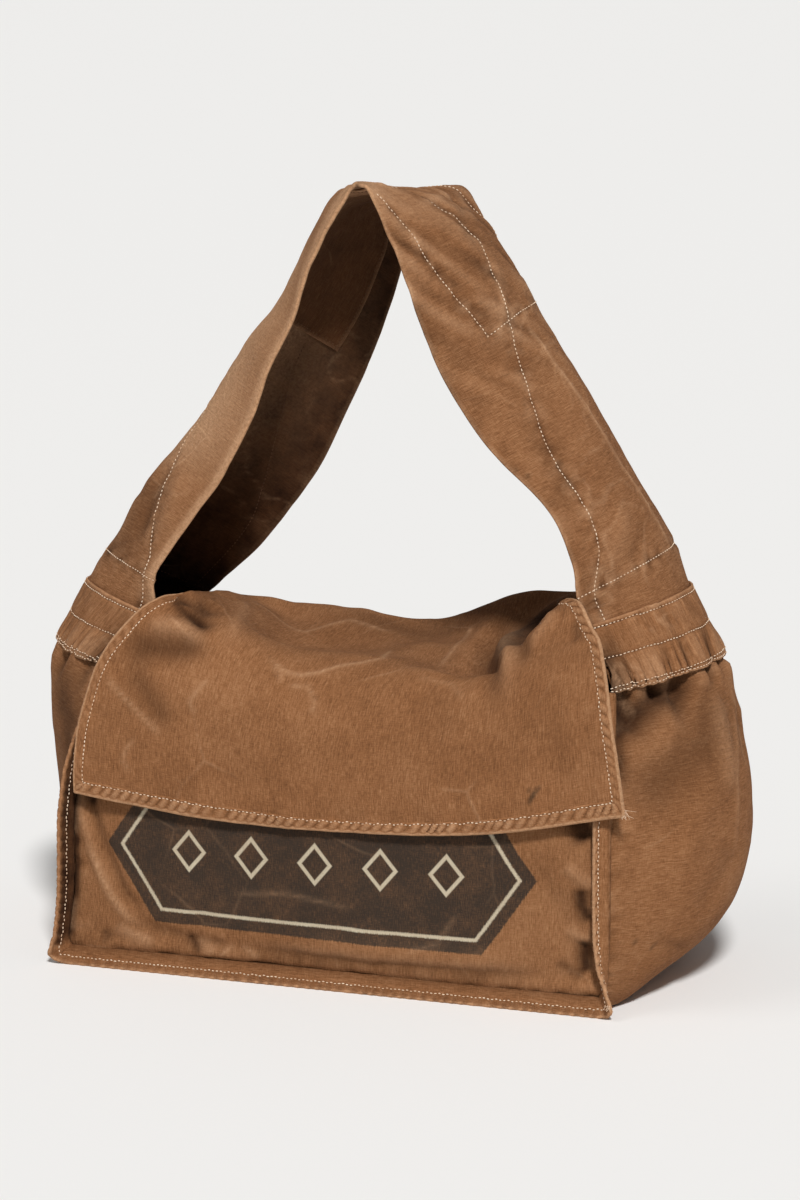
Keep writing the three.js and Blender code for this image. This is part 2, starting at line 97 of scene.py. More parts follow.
# Sections of the strap: rise, across and reach of the fold, then across, reach and rise of the
# front edge and of the back edge from the fold
rightStrap = np.array([
    [0.096, 1.06, 0.044, -0.275, -0.5, -0.13, -0.2, 0.41, -0.08],
    [0.176, 1, 0.044, -0.23, -0.49, -0.105, -0.19, 0.4, -0.08],
    [0.304, 0.89, 0.033, -0.215, -0.456, -0.105, -0.19, 0.4, -0.09],
    [0.478, 0.75, 0.01, -0.305, -0.41, -0.165, -0.19, 0.405, -0.1],
    [0.632, 0.603, 0, -0.315, -0.4, -0.155, -0.18, 0.405, -0.09],
    [0.766, 0.487, 0, -0.275, -0.41, -0.145, -0.15, 0.4, -0.07],
    [0.873, 0.375, 0.02, -0.235, -0.435, -0.06, -0.1, 0.4, -0.08],
    [0.945, 0.265, 0.02, -0.185, -0.455, 0.025, -0.02, 0.405, -0.08],
    [0.98, 0.15, 0, -0.105, -0.445, 0.075, 0.045, 0.42, -0.03],
])
leftStrap = np.array([
    [0.013, 0.99, -0.122, -0.36, -0.33, -0.045, -0.305, 0.455, -0.255],
    [0.084, 0.923, -0.122, -0.33, -0.32, -0.055, -0.31, 0.43, -0.305],
    [0.205, 0.825, -0.122, -0.35, -0.31, -0.065, -0.36, 0.41, -0.355],
    [0.308, 0.708, -0.122, -0.315, -0.3, -0.085, -0.36, 0.4, -0.355],
    [0.433, 0.571, -0.122, -0.28, -0.3, -0.04, -0.345, 0.4, -0.35],
    [0.577, 0.448, -0.122, -0.23, -0.3, -0.02, -0.31, 0.42, -0.345],
    [0.673, 0.345, -0.1, -0.195, -0.32, -0.005, -0.275, 0.42, -0.3],
    [0.776, 0.26, -0.055, -0.155, -0.37, 0.02, -0.235, 0.41, -0.28],
    [0.888, 0.18, -0.022, -0.15, -0.41, 0.035, -0.2, 0.41, -0.24],
    [0.96, 0.09, 0, -0.14, -0.433, 0.08, -0.13, 0.42, -0.1],
])

# Top of the flap and its drop: reach and swell of the row, its left and right ends, then five
# heights from left to right
flapTop = np.array([
    [0.8, 0.02, -0.86, 0.86, 1.03, 1.025, 0.995, 1.12, 1.06],
    [0.5, 0, -0.68, 0.74, 1.06, 1, 0.98, 1.1, 1.1],
    [0.1, 0, -0.66, 0.71, 1.115, 0.99, 0.985, 1.06, 1.15],
    [-0.3, 0, -0.66, 0.7, 1.155, 1.0, 0.99, 1.03, 1.2],
    [-0.6, 0.02, -0.67, 0.72, 1.18, 1.04, 1.02, 1.02, 1.24],
    [-0.79, 0.06, -0.72, 0.79, 1.18, 1.035, 1, 1.05, 1.255],
])
flapDrop = np.array([
    [-0.91, 0.07, -0.81, 0.85, -0.25, 0.02, 0.12, -0.02, -0.4],
    [-1, 0.09, -0.92, 0.9, 0.03, 0.2, 0.31, 0.17, -0.28],
    [-1.07, 0.08, -0.985, 0.945, 0.42, 0.51, 0.62, 0.5, 0.17],
    [-1.11, 0.06, -1, 0.98, 0.7, 0.77, 0.82, 0.73, 0.5],
    [-1.12, 0.05, -1, 1, 0.88, 0.96, 0.96, 0.9, 0.72],
])
backSwells = [0, 0.04, 0.07, 0.09, 0.1, 0.1, 0.09, 0.07, 0.04, 0]
frontSwells = [0, 0.05, 0.085, 0.1, 0.11, 0.11, 0.1, 0.07, 0.03]
frontSags = [0, 0, 0, 0, 0, 0, 0.02, 0.04, 0.06]

# Lean of the seam allowance from straight forward, in degrees, from the base up
rightFrontLean = [60, 52, 10, -25, -50, -60, -65, -65, -60, -50, -45]
leftFrontLean = [60, 52, 28, 26, 30, 30, 30, 30, 28, 25, 25]
backLean = [60, 52, 42, 45, 45, 45, 45, 45, 42, 38, 34]


def mix(a, b, t):
    return a + (b - a) * t


def smooth(low, high, x):
    t = np.clip((x - low) / (high - low), 0, 1)
    return t * t * (3 - 2 * t)


def unit(v):
    return v / np.maximum(np.linalg.norm(v, axis=-1, keepdims=True), 1e-12)


def along(points, index, closed=False):    # a smooth curve through the points
    points = np.asarray(points, float)
    index = np.asarray(index, float)
    last = len(points) - 1
    if closed:
        row = np.floor(index).astype(int)
        t = index - row
        a, b, c, d = (points[(row + step) % (last + 1)] for step in (-1, 0, 1, 2))
    else:
        padded = np.concatenate([
            2 * points[:1] - points[1:2], points, 2 * points[-1:] - points[-2:-1],
        ])
        row = np.clip(np.floor(index).astype(int), 0, last - 1)
        t = index - row
        a, b, c, d = (padded[row + step] for step in (0, 1, 2, 3))
    t = t.reshape(t.shape + (1,) * (points.ndim - 1))
    bend = 2 * a - 5 * b + 4 * c - d
    twist = 3 * b - a - 3 * c + d
    return b + 0.5 * t * (c - a + t * (bend + t * twist))


def gussetEdges(rows, side, baseHeight, height):
    x = side * (halfWidth + rows[:, 1::3] * bag["gussetBulge"])
    y = rows[:, 2::3] * halfDepth
    z = baseHeight + rows[:, 0::3] * height
    fold, front, back = np.stack([x, y, z], -1).transpose(1, 0, 2)
    return {"front": front, "fold": fold, "back": back}


def strapEdges(rows, side):
    bandTop = bag["gussetHeight"] + bag["bandHeight"]
    rise = bag["strapHeight"] - bandTop
    fold = np.stack([
        side * rows[:, 1] * halfWidth,
        rows[:, 2] * bag["strapWidth"],
        bandTop + rows[:, 0] * rise,
    ], -1)
    turn = np.array([side, 1, 1]) * bag["strapWidth"]
    return {"front": fold + rows[:, 3:6] * turn, "fold": fold, "back": fold + rows[:, 6:9] * turn}


# One ring of sections: down the left gusset, across the base, up the right side, over the top
sides = {}
for side, name, gusset, band, strap in (
    (1, "right", rightGusset, rightBandTop, rightStrap),
    (-1, "left", leftGusset, leftBandTop, leftStrap),
):
    sides[name] = [
        gussetEdges(gusset, side, floorLevel, bag["gussetHeight"]),
        gussetEdges(band, side, bag["gussetHeight"], bag["bandHeight"]),
        strapEdges(strap, side),
    ]
seamLevel = sides["left"][0]["front"][0, 2]
ring = {}
for edge, reach, level in (
    ("front", -1, seamLevel), ("fold", 0, floorLevel), ("back", 1, seamLevel),
):
    base = np.array([
        [share * halfWidth, reach * halfDepth, level] for share in (-0.6, -0.2, 0.2, 0.6)
    ])
    ring[edge] = np.concatenate([
        sides["left"][0][edge][::-1], base, *(part[edge] for part in sides["right"]),
        sides["left"][2][edge][::-1], sides["left"][1][edge],
    ])
ringCount = len(ring["fold"])
# the sections at the corners of the base and at the bands' lower and upper edges
leftCorner, rightCorner = 9, 16
rightTop, rightBand, leftBand, leftTop = 25, 26, 46, 47
flatness = np.zeros(ringCount)
flatness[8:18] = [0.3, 0.7, 1, 1, 1, 1, 1, 1, 0.7, 0.3]


def ringGrid(index, share):    # one index for each row, one share for each column
    index = np.asarray(index, float)
    share = np.asarray(share, float)
    front, fold, back = (along(ring[edge], index, True) for edge in ("front", "fold", "back"))
    fold[:, 2] = np.maximum(fold[:, 2], floorLevel)
    frontPart = np.linalg.norm(front - fold, axis=1)
    foldShare = (frontPart / (frontPart + np.linalg.norm(back - fold, axis=1)))[:, None]
    rest = 1 - foldShare
    control = (fold - rest ** 2 * front - foldShare ** 2 * back) / (2 * foldShare * rest)
    s = np.broadcast_to(share, (len(index), share.shape[-1]))[..., None]
    front, fold, back, control = (x[:, None] for x in (front, fold, back, control))
    curved = front * (1 - s) ** 2 + control * 2 * s * (1 - s) + back * s ** 2
    curl = np.clip(np.abs(2 * s - 1) - bag["flatShare"], 0, None) / (1 - bag["flatShare"])
    edge = np.where(s < 0.5, front, back)
    flat = mix(front, back, s)
    flat[..., 0:1] = mix(fold, edge, curl)[..., 0:1]
    flat[..., 2:3] = mix(fold, edge, curl ** 2)[..., 2:3]
    row = np.floor(index).astype(int)
    flatHere = mix(flatness[row % ringCount], flatness[(row + 1) % ringCount], index - row)
    return mix(curved, flat, flatHere[:, None, None])


def panelRow(left, right, push, sag):
    share = np.linspace(0, 1, 5)[:, None]
    swell = 1 - (2 * share - 1) ** 2
    point = mix(left, right, share)
    point[:, 0] += (bag["canvas"] + bag["clearance"]) * (1 - 2 * share[:, 0])
    point[:, 1] += push * swell[:, 0]
    point[:, 2] -= sag * swell[:, 0]
    return point


def flapRow(row, heights):
    share = np.linspace(0, 1, 5)
    swell = 1 - (2 * share - 1) ** 2
    x = bag["flapShift"] + mix(row[2], row[3], share) * bag["flapWidth"] / 2
    y = (row[0] + np.sign(row[0]) * row[1] * swell) * halfDepth
    return np.stack([x, y, heights], -1)


frontRows = np.array([
    panelRow(sides["left"][0]["front"][i + 1], sides["right"][0]["front"][i + 1],
             -frontSwells[i] * halfDepth, frontSags[i] * bag["height"])
    for i in range(len(frontSwells))
])
flapRows = np.array([
    panelRow(sides["left"][0]["back"][i + 1], sides["right"][0]["back"][i + 1],
             backSwells[i] * halfDepth, 0)
    for i in range(len(backSwells))
] + [
    flapRow(row, row[4:] * bag["height"]) for row in flapTop
] + [
    flapRow(row, bag["height"] - row[4:] * bag["flapDrop"]) for row in flapDrop
])


def rowsGrid(rows, index, share):
    columns = along(np.swapaxes(rows, 0, 1), np.asarray(share) * 4)
    return along(np.swapaxes(columns, 0, 1), index)


def noise(x, y, seed):
    cells = 64
    lattice = np.random.RandomState(seed).uniform(-1, 1, (cells, cells))
    x, y = np.broadcast_arrays(np.asarray(x, float), np.asarray(y, float))
    column, row = np.floor(x).astype(int), np.floor(y).astype(int)
    s, t = smooth(0, 1, x - column), smooth(0, 1, y - row)
    (a, b), (c, d) = (
        [lattice[(row + j) % cells, (column + i) % cells] for i in (0, 1)] for j in (0, 1)
    )
    return mix(mix(a, b, s), mix(c, d, s), t)


def evenRows(surface, first, last, count, samples=1500):    # rows at even steps of length
    index = np.linspace(first, last, samples)
    middle = surface(index, [0.3, 0.5, 0.7])
    step = np.linalg.norm(np.diff(middle, axis=0), axis=2).mean(1)
    length = np.concatenate([[0], np.cumsum(step)])
    return np.interp(np.linspace(0, length[-1], count), length, index)


def normals(grid, flip):
    cross = np.cross(np.gradient(grid, axis=1), np.gradient(grid, axis=0))
    return unit(-cross if flip else cross)


# A cloth is a grid of points with its own coordinates in metres: x from its middle, y from its
# first row. Lift raises it along its normal; wear with painted highlights and grime with painted
# shade go to its material.
def layCloth(surface, rows, shares, flip=False):
    grid = surface(rows, shares)
    x = np.cumsum(np.linalg.norm(np.diff(grid, axis=1), axis=2), axis=1)
    x = np.concatenate([np.zeros((len(rows), 1)), x], 1)
    y = np.concatenate([[0], np.cumsum(np.linalg.norm(np.diff(grid, axis=0), axis=2).mean(1))])
    y = np.broadcast_to(y[:, None], x.shape)
    blank = np.zeros(x.shape)
    return {
        "grid": grid, "rows": rows, "shares": np.asarray(shares), "flip": flip,
        "x": x - x[:, -1:] / 2, "y": y, "leftGap": x, "rightGap": x[:, -1:] - x,
        "lift": blank.copy(), "wearAndHighlight": blank.copy(), "grimeAndShade": blank.copy(), "stain": blank.copy(),
    }


def readAt(cloth, values, places):    # places are (row index, share) pairs
    places = np.asarray(places, float)
    row = np.interp(places[:, 0], cloth["rows"], np.arange(len(cloth["rows"])))
    column = np.interp(places[:, 1], cloth["shares"], np.arange(len(cloth["shares"])))
    i = np.clip(np.floor(row).astype(int), 0, len(cloth["rows"]) - 2)
    j = np.clip(np.floor(column).astype(int), 0, len(cloth["shares"]) - 2)
    s, t = row - i, column - j
    if values.ndim == 3:
        s, t = s[:, None], t[:, None]
    upper = mix(values[i, j], values[i, j + 1], t)
    return mix(upper, mix(values[i + 1, j], values[i + 1, j + 1], t), s)


# Distance to a line through the places, and how far along it the nearest point is
def lineDistance(cloth, places):
    px, py = readAt(cloth, cloth["x"], places), readAt(cloth, cloth["y"], places)
    total = np.concatenate([[0], np.cumsum(np.hypot(np.diff(px), np.diff(py)))])
    distance = np.full(cloth["x"].shape, 1e9)
    share = np.zeros(cloth["x"].shape)
    for k in range(len(px) - 1):
        dx, dy = px[k + 1] - px[k], py[k + 1] - py[k]
        rx, ry = cloth["x"] - px[k], cloth["y"] - py[k]
        t = np.clip((rx * dx + ry * dy) / max(dx * dx + dy * dy, 1e-12), 0, 1)
        away = np.hypot(rx - t * dx, ry - t * dy)
        nearer = away < distance
        distance = np.where(nearer, away, distance)
        share = np.where(nearer, mix(total[k], total[k + 1], t) / max(total[-1], 1e-9), share)
    return distance, share


def edgeGaps(cloth, edges):    # the gap from each edge and the way along it
    gaps = {
        "left": (cloth["leftGap"], cloth["y"]), "right": (cloth["rightGap"], cloth["y"]),
        "first": (cloth["y"], cloth["x"]), "last": (cloth["y"][-1:] - cloth["y"], cloth["x"]),
    }
    return [gaps[edge] for edge in edges]


def near(distance, width):
    return np.exp(-(distance / width) ** 2)


def addFold(cloth, places, width, height, wearAndHighlight=0.0, grimeAndShade=0.0, sharp=False, fade=0.25):
    distance, share = lineDistance(cloth, places)
    profile = np.exp(-distance / width) if sharp else near(distance, width)
    profile *= smooth(0, fade, share) * smooth(1, 1 - fade, share)
    cloth["lift"] += height * profile
    cloth["wearAndHighlight"] += wearAndHighlight * profile
    cloth["grimeAndShade"] += grimeAndShade * profile


def addCrumple(cloth, settings, seed):
    x, y = cloth["x"], cloth["y"]
    for k, (size, height) in enumerate(settings["waves"]):
        cloth["lift"] += height * noise(x / size + 9, y / size + 5, seed + k)
    size, height = settings["ridges"]
    bentX = x / size + 0.5 * noise(x / size, y / size, seed + 20)
    bentY = y / size + 0.5 * noise(x / size, y / size, seed + 21)
    ridge = (1 - np.abs(noise(bentX + 3, bentY + 7, seed + 22))) ** 4
    where = smooth(0.1, 0.6, noise(x / (3 * size), y / (3 * size), seed + 23))
    cloth["lift"] += height * ridge * where
    cloth["wearAndHighlight"] += settings["ridgeWear"] * smooth(0.6, 1, ridge) * where
    darkened = noise(x / 0.05, y / 0.07, seed + 24)
    cloth["grimeAndShade"] += 0.06 * np.clip(darkened, 0, 1)


def addPuckers(cloth, gap, coordinate, settings, seed):
    wave = noise(coordinate / settings["pitch"], gap / settings["reach"] + 2, seed)
    profile = np.exp(-gap / settings["reach"])
    cloth["lift"] += settings["height"] * wave * profile
    paint(cloth, wave, profile, 0.35, 0.5)


def paint(cloth, wave, profile, wearAndHighlight, grimeAndShade):    # crests are rubbed lighter and hollows darker: wear and dirt, with painted highlight and shade
    cloth["wearAndHighlight"] += wearAndHighlight * np.clip(wave, 0, 1) * profile
    cloth["grimeAndShade"] += grimeAndShade * np.clip(-wave, 0, 1) * profile


def puckerEdges(cloth, edges, settings, seed):
    for number, (gap, run) in enumerate(edgeGaps(cloth, edges)):
        addPuckers(cloth, gap, run, settings, seed + number)


# Lines in row and share, width, height, wear with painted highlight, and grime with painted shade
def addFolds(cloth, folds, fade=0.25):
    for places, width, height, wearAndHighlight, grimeAndShade in folds:
        addFold(cloth, places, width, height, wearAndHighlight=wearAndHighlight, grimeAndShade=grimeAndShade, fade=fade)


# Lines in row and share, radius and strength
def addSpots(cloth, spots, core=0.3):
    for places, radius, strength in spots:
        distance, _ = lineDistance(cloth, places)
        cloth["stain"] += strength * smooth(radius, radius * core, distance)


# The even slanting twists of a folded edge that has shrunk along its stitches
def rope(run, pitch, seed):
    drift = 0.45 * noise(run / (2.5 * pitch), 3, seed)
    strength = 0.8 + 0.35 * noise(run / (3 * pitch), 5, seed + 1)
    return np.sin(2 * np.pi * (run / pitch + drift)) * strength


def shape(cloth):
    grid = cloth["grid"] + normals(cloth["grid"], cloth["flip"]) * cloth["lift"][..., None]
    cloth["final"] = grid
    cloth["normal"] = normals(grid, cloth["flip"])
    return cloth


def pointsOn(cloth, places, lift):
    return readAt(cloth, cloth["final"], places) + lift * readAt(cloth, cloth["normal"], places)


def addPiece(name, mesh):
    piece = bpy.data.objects.new(name, mesh)
    bpy.context.scene.collection.objects.link(piece)
    mesh.shade_smooth()
    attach(piece, "root")
    return piece


# A closed shell round the cloth, with its own coordinates, its wear and painted highlights, its
# grime and painted shade, and its stains. Its inner face gets extra painted shade of the given
# strength; turned lays the threads the other way.
def buildCloth(name, cloth, thickness, node, material,
               offset=0.0, roundness=0.35, innerShade=0.1, turned=False):
    final, normal = cloth["final"] + cloth["normal"] * offset, cloth["normal"]
    n, m = final.shape[:2]
    order = np.arange(n * m).reshape(n, m)
    loop = np.concatenate([order[0, :-1], order[:-1, -1], order[-1, :0:-1], order[:0:-1, 0]])
    outer = (final + normal * thickness / 2).reshape(-1, 3)
    inner = (final - normal * thickness / 2).reshape(-1, 3)
    flat = final.reshape(-1, 3)
    tangent = unit(np.roll(flat[loop], -1, 0) - np.roll(flat[loop], 1, 0))
    side = np.cross(tangent, normal.reshape(-1, 3)[loop]) * (-1 if cloth["flip"] else 1)
    middle = flat[loop] + unit(side) * thickness * roundness
    points = np.concatenate([outer, inner, middle])
    points[:, 2] = np.maximum(points[:, 2], 0)    # nothing dips into the floor
    a, b, c, d = order[:-1, :-1], order[:-1, 1:], order[1:, 1:], order[1:, :-1]
    top = np.stack([a, b, c, d], -1).reshape(-1, 4)
    bottom = top[:, ::-1] + n * m
    rim = np.arange(len(loop)) + 2 * n * m
    nextLoop, nextRim = np.roll(loop, -1), np.roll(rim, -1)
    upper = np.stack([loop, rim, nextRim, nextLoop], -1)
    lower = np.stack([rim, loop + n * m, nextLoop + n * m, nextRim], -1)
    faces = np.concatenate([top, bottom, upper, lower])
    if cloth["flip"]:
        faces = faces[:, ::-1]
    mesh = bpy.data.meshes.new(name)
    mesh.vertices.add(len(points))
    mesh.vertices.foreach_set("co", points.ravel())
    mesh.loops.add(faces.size)
    mesh.loops.foreach_set("vertex_index", faces.ravel().astype(np.int32))
    mesh.polygons.add(len(faces))
    mesh.polygons.foreach_set("loop_start", np.arange(0, faces.size, 4, dtype=np.int32))
    mesh.update(calc_edges=True)
    mesh.validate()
    uv = np.stack([cloth[key] for key in ("yx" if turned else "xy")], -1).reshape(-1, 2)
    uv = np.concatenate([uv, uv, uv[loop]])
    mesh.uv_layers.new(name="cloth").data.foreach_set("uv", uv[faces.ravel()].ravel())
    for key in ("wearAndHighlight", "grimeAndShade", "stain"):
        values = cloth[key].ravel()
        # the inner face is darkened further with painted shade
        inside = values * 0.6 + (innerShade if key == "grimeAndShade" else 0)
        values = np.concatenate([values, inside, values[loop]])
        attribute = mesh.attributes.new(key, "FLOAT", "POINT")
        attribute.data.foreach_set("value", np.clip(values, 0, 1).astype(np.float32))
    mesh.materials.append(material)
    piece = addPiece(name, mesh)
    if node:
        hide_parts(node)
    area = sum(face.area for face in mesh.polygons) / 2
    print(name, len(faces) * 2, "triangles, one layer", round(area, 4), "m2")
    return piece


def linear(colour):    # from 0 to 255, as on a screen
    shares = [c / 255 for c in colour]
    return [c / 12.92 if c <= 0.04045 else ((c + 0.055) / 1.055) ** 2.4 for c in shares] + [1]


def addNode(tree, kind, values=(), **settings):    # values: input and its socket or value
    node = tree.nodes.new(kind)
    for key, value in settings.items():
        setattr(node, key, value)
    for key, value in dict(values).items():
        if isinstance(value, bpy.types.NodeSocket):
            tree.links.new(value, node.inputs[key])
        else:
            node.inputs[key].default_value = value
    return node


def calc(tree, operation, *values):
    return addNode(tree, "ShaderNodeMath", dict(enumerate(values)), operation=operation).outputs[0]


def blendColour(tree, factor, first, second):
    values = {0: factor, 6: first, 7: second}
    return addNode(tree, "ShaderNodeMix", values, data_type="RGBA").outputs[2]


def noiseNode(tree, vector, scale, detail=3, rough=0.55):
    values = {"Vector": vector, "Scale": scale, "Detail": detail, "Roughness": rough}
    return addNode(tree, "ShaderNodeTexNoise", values).outputs[0]


def centred(tree, pattern, weight, base):
    return calc(tree, "MULTIPLY_ADD", calc(tree, "SUBTRACT", pattern, 0.5), weight, base)


def rangeNode(tree, value, low, high, start=0.0, end=1.0):
    values = {"Value": value, "From Min": low, "From Max": high, "To Min": start, "To Max": end}
    return addNode(tree, "ShaderNodeMapRange", values).outputs[0]


def attributeNode(tree, name):
    return addNode(tree, "ShaderNodeAttribute", attribute_name=name).outputs["Fac"]


def limited(tree, value, weight=1.0):
    return addNode(tree, "ShaderNodeClamp", {0: calc(tree, "MULTIPLY", value, weight)}).outputs[0]


def startMaterial(name):
    material = bpy.data.materials.new(name)
    material.use_nodes = True
    material.node_tree.nodes.clear()
    place = addNode(material.node_tree, "ShaderNodeTexCoord").outputs["Object"]
    return material, material.node_tree, place


def endMaterial(tree, values):
    shader = addNode(tree, "ShaderNodeBsdfPrincipled", values).outputs[0]
    addNode(tree, "ShaderNodeOutputMaterial", {0: shader})


# Canvas with a weave, thick threads, slubs and streaks, and creases. Patterns are about 0.5,
# so each has a weight in the tone and a depth in metres.
canvasLook = {
    "dark": (108, 69, 41),
    "middle": (144, 97, 62),
    "light": (174, 126, 88),
    # the colour of worn fibres, also the colour of painted highlights
    "pale": (208, 164, 126),
    # the colour of dirt, also the colour of painted shade
    "dirtAndShade": (38, 17, 6),
    "stain": (48, 40, 30),
    # cells per metre
    "blotches": 7.5,
    "mottle": 38,
    "fuzz": 420,
    "creases": 15,
    "creaseGroups": 13,
    "bends": 22,
    # cells per metre across and down the cloth, and each direction's share
    "slub": ((1500, 190, 0.6), (190, 1500, 0.4)),
    "streak": ((760, 66, 0.74), (105, 1200, 0.26)),
    "threadPitch": 0.00085,
    "weights": {"blotch": 0.5, "mottle": 0.5, "slub": 1.7, "streak": 1.0, "fuzz": 0.12},
    "weaveWeight": 0.06,
    "depths": {"slub": 0.0011, "streak": 0.0014},
    "weaveDepth": 0.0002,
    "creaseDepth": 0.0005,
    "creaseWear": 0.3,
    "creaseBend": 0.012,
    "creaseWidth": 0.03,
    "roughness": 0.92,
    "specular": 0.1,
    "sheen": 0.02,
    "sheenTint": (235, 205, 175),
}


def canvasMaterial(name, changes=(), printed=None):
    look = {**canvasLook, **dict(changes)}
    material, tree, place = startMaterial(name)
    cloth = addNode(tree, "ShaderNodeUVMap", uv_map="cloth").outputs[0]

    def fibres(directions):
        total = 0.0
        for across, down, share in directions:
            values = {0: cloth, 1: (across, down, 1)}
            scaled = addNode(tree, "ShaderNodeVectorMath", values, operation="MULTIPLY")
            pattern = noiseNode(tree, scaled.outputs[0], 1, 2)
            total = calc(tree, "MULTIPLY_ADD", pattern, share, total)
        return total

    pattern = {
        "blotch": noiseNode(tree, place, look["blotches"], 2),
        "mottle": noiseNode(tree, place, look["mottle"], 5, 0.62),
        "fuzz": noiseNode(tree, place, look["fuzz"], 3, 0.7),
        "slub": fibres(look["slub"]),
        "streak": fibres(look["streak"]),
    }
    turns = 2 * math.pi / look["threadPitch"]
    values = {0: cloth, 1: (turns, turns, 1)}
    scaled = addNode(tree, "ShaderNodeVectorMath", values, operation="MULTIPLY").outputs[0]
    parts = addNode(tree, "ShaderNodeSeparateXYZ", {0: scaled}).outputs
    weave = calc(tree, "MULTIPLY", *(calc(tree, "SINE", parts[axis]) for axis in (0, 1)))

    # fine straight creases, rubbed light along their tops
    values = {"Vector": cloth, "Scale": look["bends"], "Detail": 2}
    swing = addNode(tree, "ShaderNodeTexNoise", values).outputs[1]
    bend = look["creaseBend"]
    values = {0: swing, 1: (bend, bend, 0), 2: cloth}
    bent = addNode(tree, "ShaderNodeVectorMath", values, operation="MULTIPLY_ADD").outputs[0]
    cells = addNode(tree, "ShaderNodeTexVoronoi", {"Vector": bent, "Scale": look["creases"]},
                    feature="DISTANCE_TO_EDGE", voronoi_dimensions="2D").outputs["Distance"]
    groups = rangeNode(tree, noiseNode(tree, place, look["creaseGroups"], 2), 0.54, 0.68)
    crease = calc(tree, "MULTIPLY", rangeNode(tree, cells, 0, look["creaseWidth"], 1, 0), groups)

    tone = calc(tree, "MULTIPLY_ADD", weave, look["weaveWeight"], 0.5)
    for key, weight in look["weights"].items():
        tone = centred(tree, pattern[key], weight, tone)
    ramp = addNode(tree, "ShaderNodeValToRGB", {0: tone})
    stops = ramp.color_ramp.elements
    stops[0].position, stops[1].position = 0.05, 0.95
    stops[0].color, stops[1].color = linear(look["dark"]), linear(look["light"])
    stops.new(0.5).color = linear(look["middle"])
    colour = ramp.outputs[0]
    if printed:
        colour = printed(tree, cloth, pattern, colour)
    # grime darkens toward the dark brown and also carries painted shade; wear lightens toward the
    # pale brown and also carries painted highlights
    mottled = calc(tree, "MULTIPLY_ADD", pattern["mottle"], 0.8, 0.5)
    grimeAndShade = calc(tree, "MULTIPLY", attributeNode(tree, "grimeAndShade"), mottled)
    colour = blendColour(tree, limited(tree, grimeAndShade, 0.95), colour, linear(look["dirtAndShade"]))
    wearAndHighlight = calc(tree, "MULTIPLY_ADD", crease, look["creaseWear"], attributeNode(tree, "wearAndHighlight"))
    wearAndHighlight = calc(tree, "MULTIPLY", wearAndHighlight, calc(tree, "MULTIPLY_ADD", pattern["fuzz"], 1.7, -0.1))
    colour = blendColour(tree, limited(tree, wearAndHighlight, 0.8), colour, linear(look["pale"]))
    patchy = calc(tree, "MULTIPLY_ADD", pattern["fuzz"], 1.0, 0.2)
    stain = calc(tree, "MULTIPLY", attributeNode(tree, "stain"), patchy)
    colour = blendColour(tree, stain, colour, linear(look["stain"]))
    height = calc(tree, "MULTIPLY", weave, look["weaveDepth"])
    for key, depth in look["depths"].items():
        height = calc(tree, "MULTIPLY_ADD", pattern[key], depth, height)
    height = calc(tree, "MULTIPLY_ADD", crease, look["creaseDepth"], height)
    values = {"Strength": 0.8, "Distance": 1.0, "Height": height}
    endMaterial(tree, {
        "Base Color": colour, "Roughness": look["roughness"],
        "Specular IOR Level": look["specular"], "Sheen Weight": look["sheen"],
        "Sheen Roughness": 0.6, "Sheen Tint": linear(look["sheenTint"]),
        "Normal": addNode(tree, "ShaderNodeBump", values).outputs[0],
    })
    return material


threadLook = {"light": (244, 222, 196), "dark": (196, 156, 122), "roughness": 0.75}
# a darker copy of the thread for the strap's inside: painted shade
shadedThread = {"light": (120, 84, 58), "dark": (70, 46, 30), "roughness": 0.85}


def threadMaterial(name, look):
    material, tree, place = startMaterial(name)
    pale = centred(tree, noiseNode(tree, place, 60, 3), 2.4, 0.5)
    fibre = noiseNode(tree, place, 2500, 2)
    values = {"Strength": 0.5, "Distance": 0.0002, "Height": fibre}
    endMaterial(tree, {
        "Base Color": blendColour(tree, pale, linear(look["dark"]), linear(look["light"])),
        "Roughness": look["roughness"], "Specular IOR Level": 0.25,
        "Normal": addNode(tree, "ShaderNodeBump", values).outputs[0],
    })
    return material


# The faded print on the front panel: a long six-sided field with a cream line inside its edge
# and a row of cream diamonds. Sizes in metres on the panel's own coordinates.
printLook = {
    "middle": (-0.012, 0.092),
    "halfLength": 0.138,
    "halfHeight": 0.062,
    "point": 0.042,
    "lineInset": 0.011,
    "lineWidth": 0.0028,
    "diamonds": 5,
    "diamondPitch": 0.054,
    "diamondWidth": 0.03,
    "diamondHeight": 0.036,
    "ink": (62, 51, 43),
    "cream": (205, 192, 166),
    "ring": (0.85, 0.13),      # middle and half width of each diamond's line, as shares
    "cover": 0.94,
    "ragged": 0.003,
    "softness": 0.0006,
    "ringSoftness": 0.04,
}


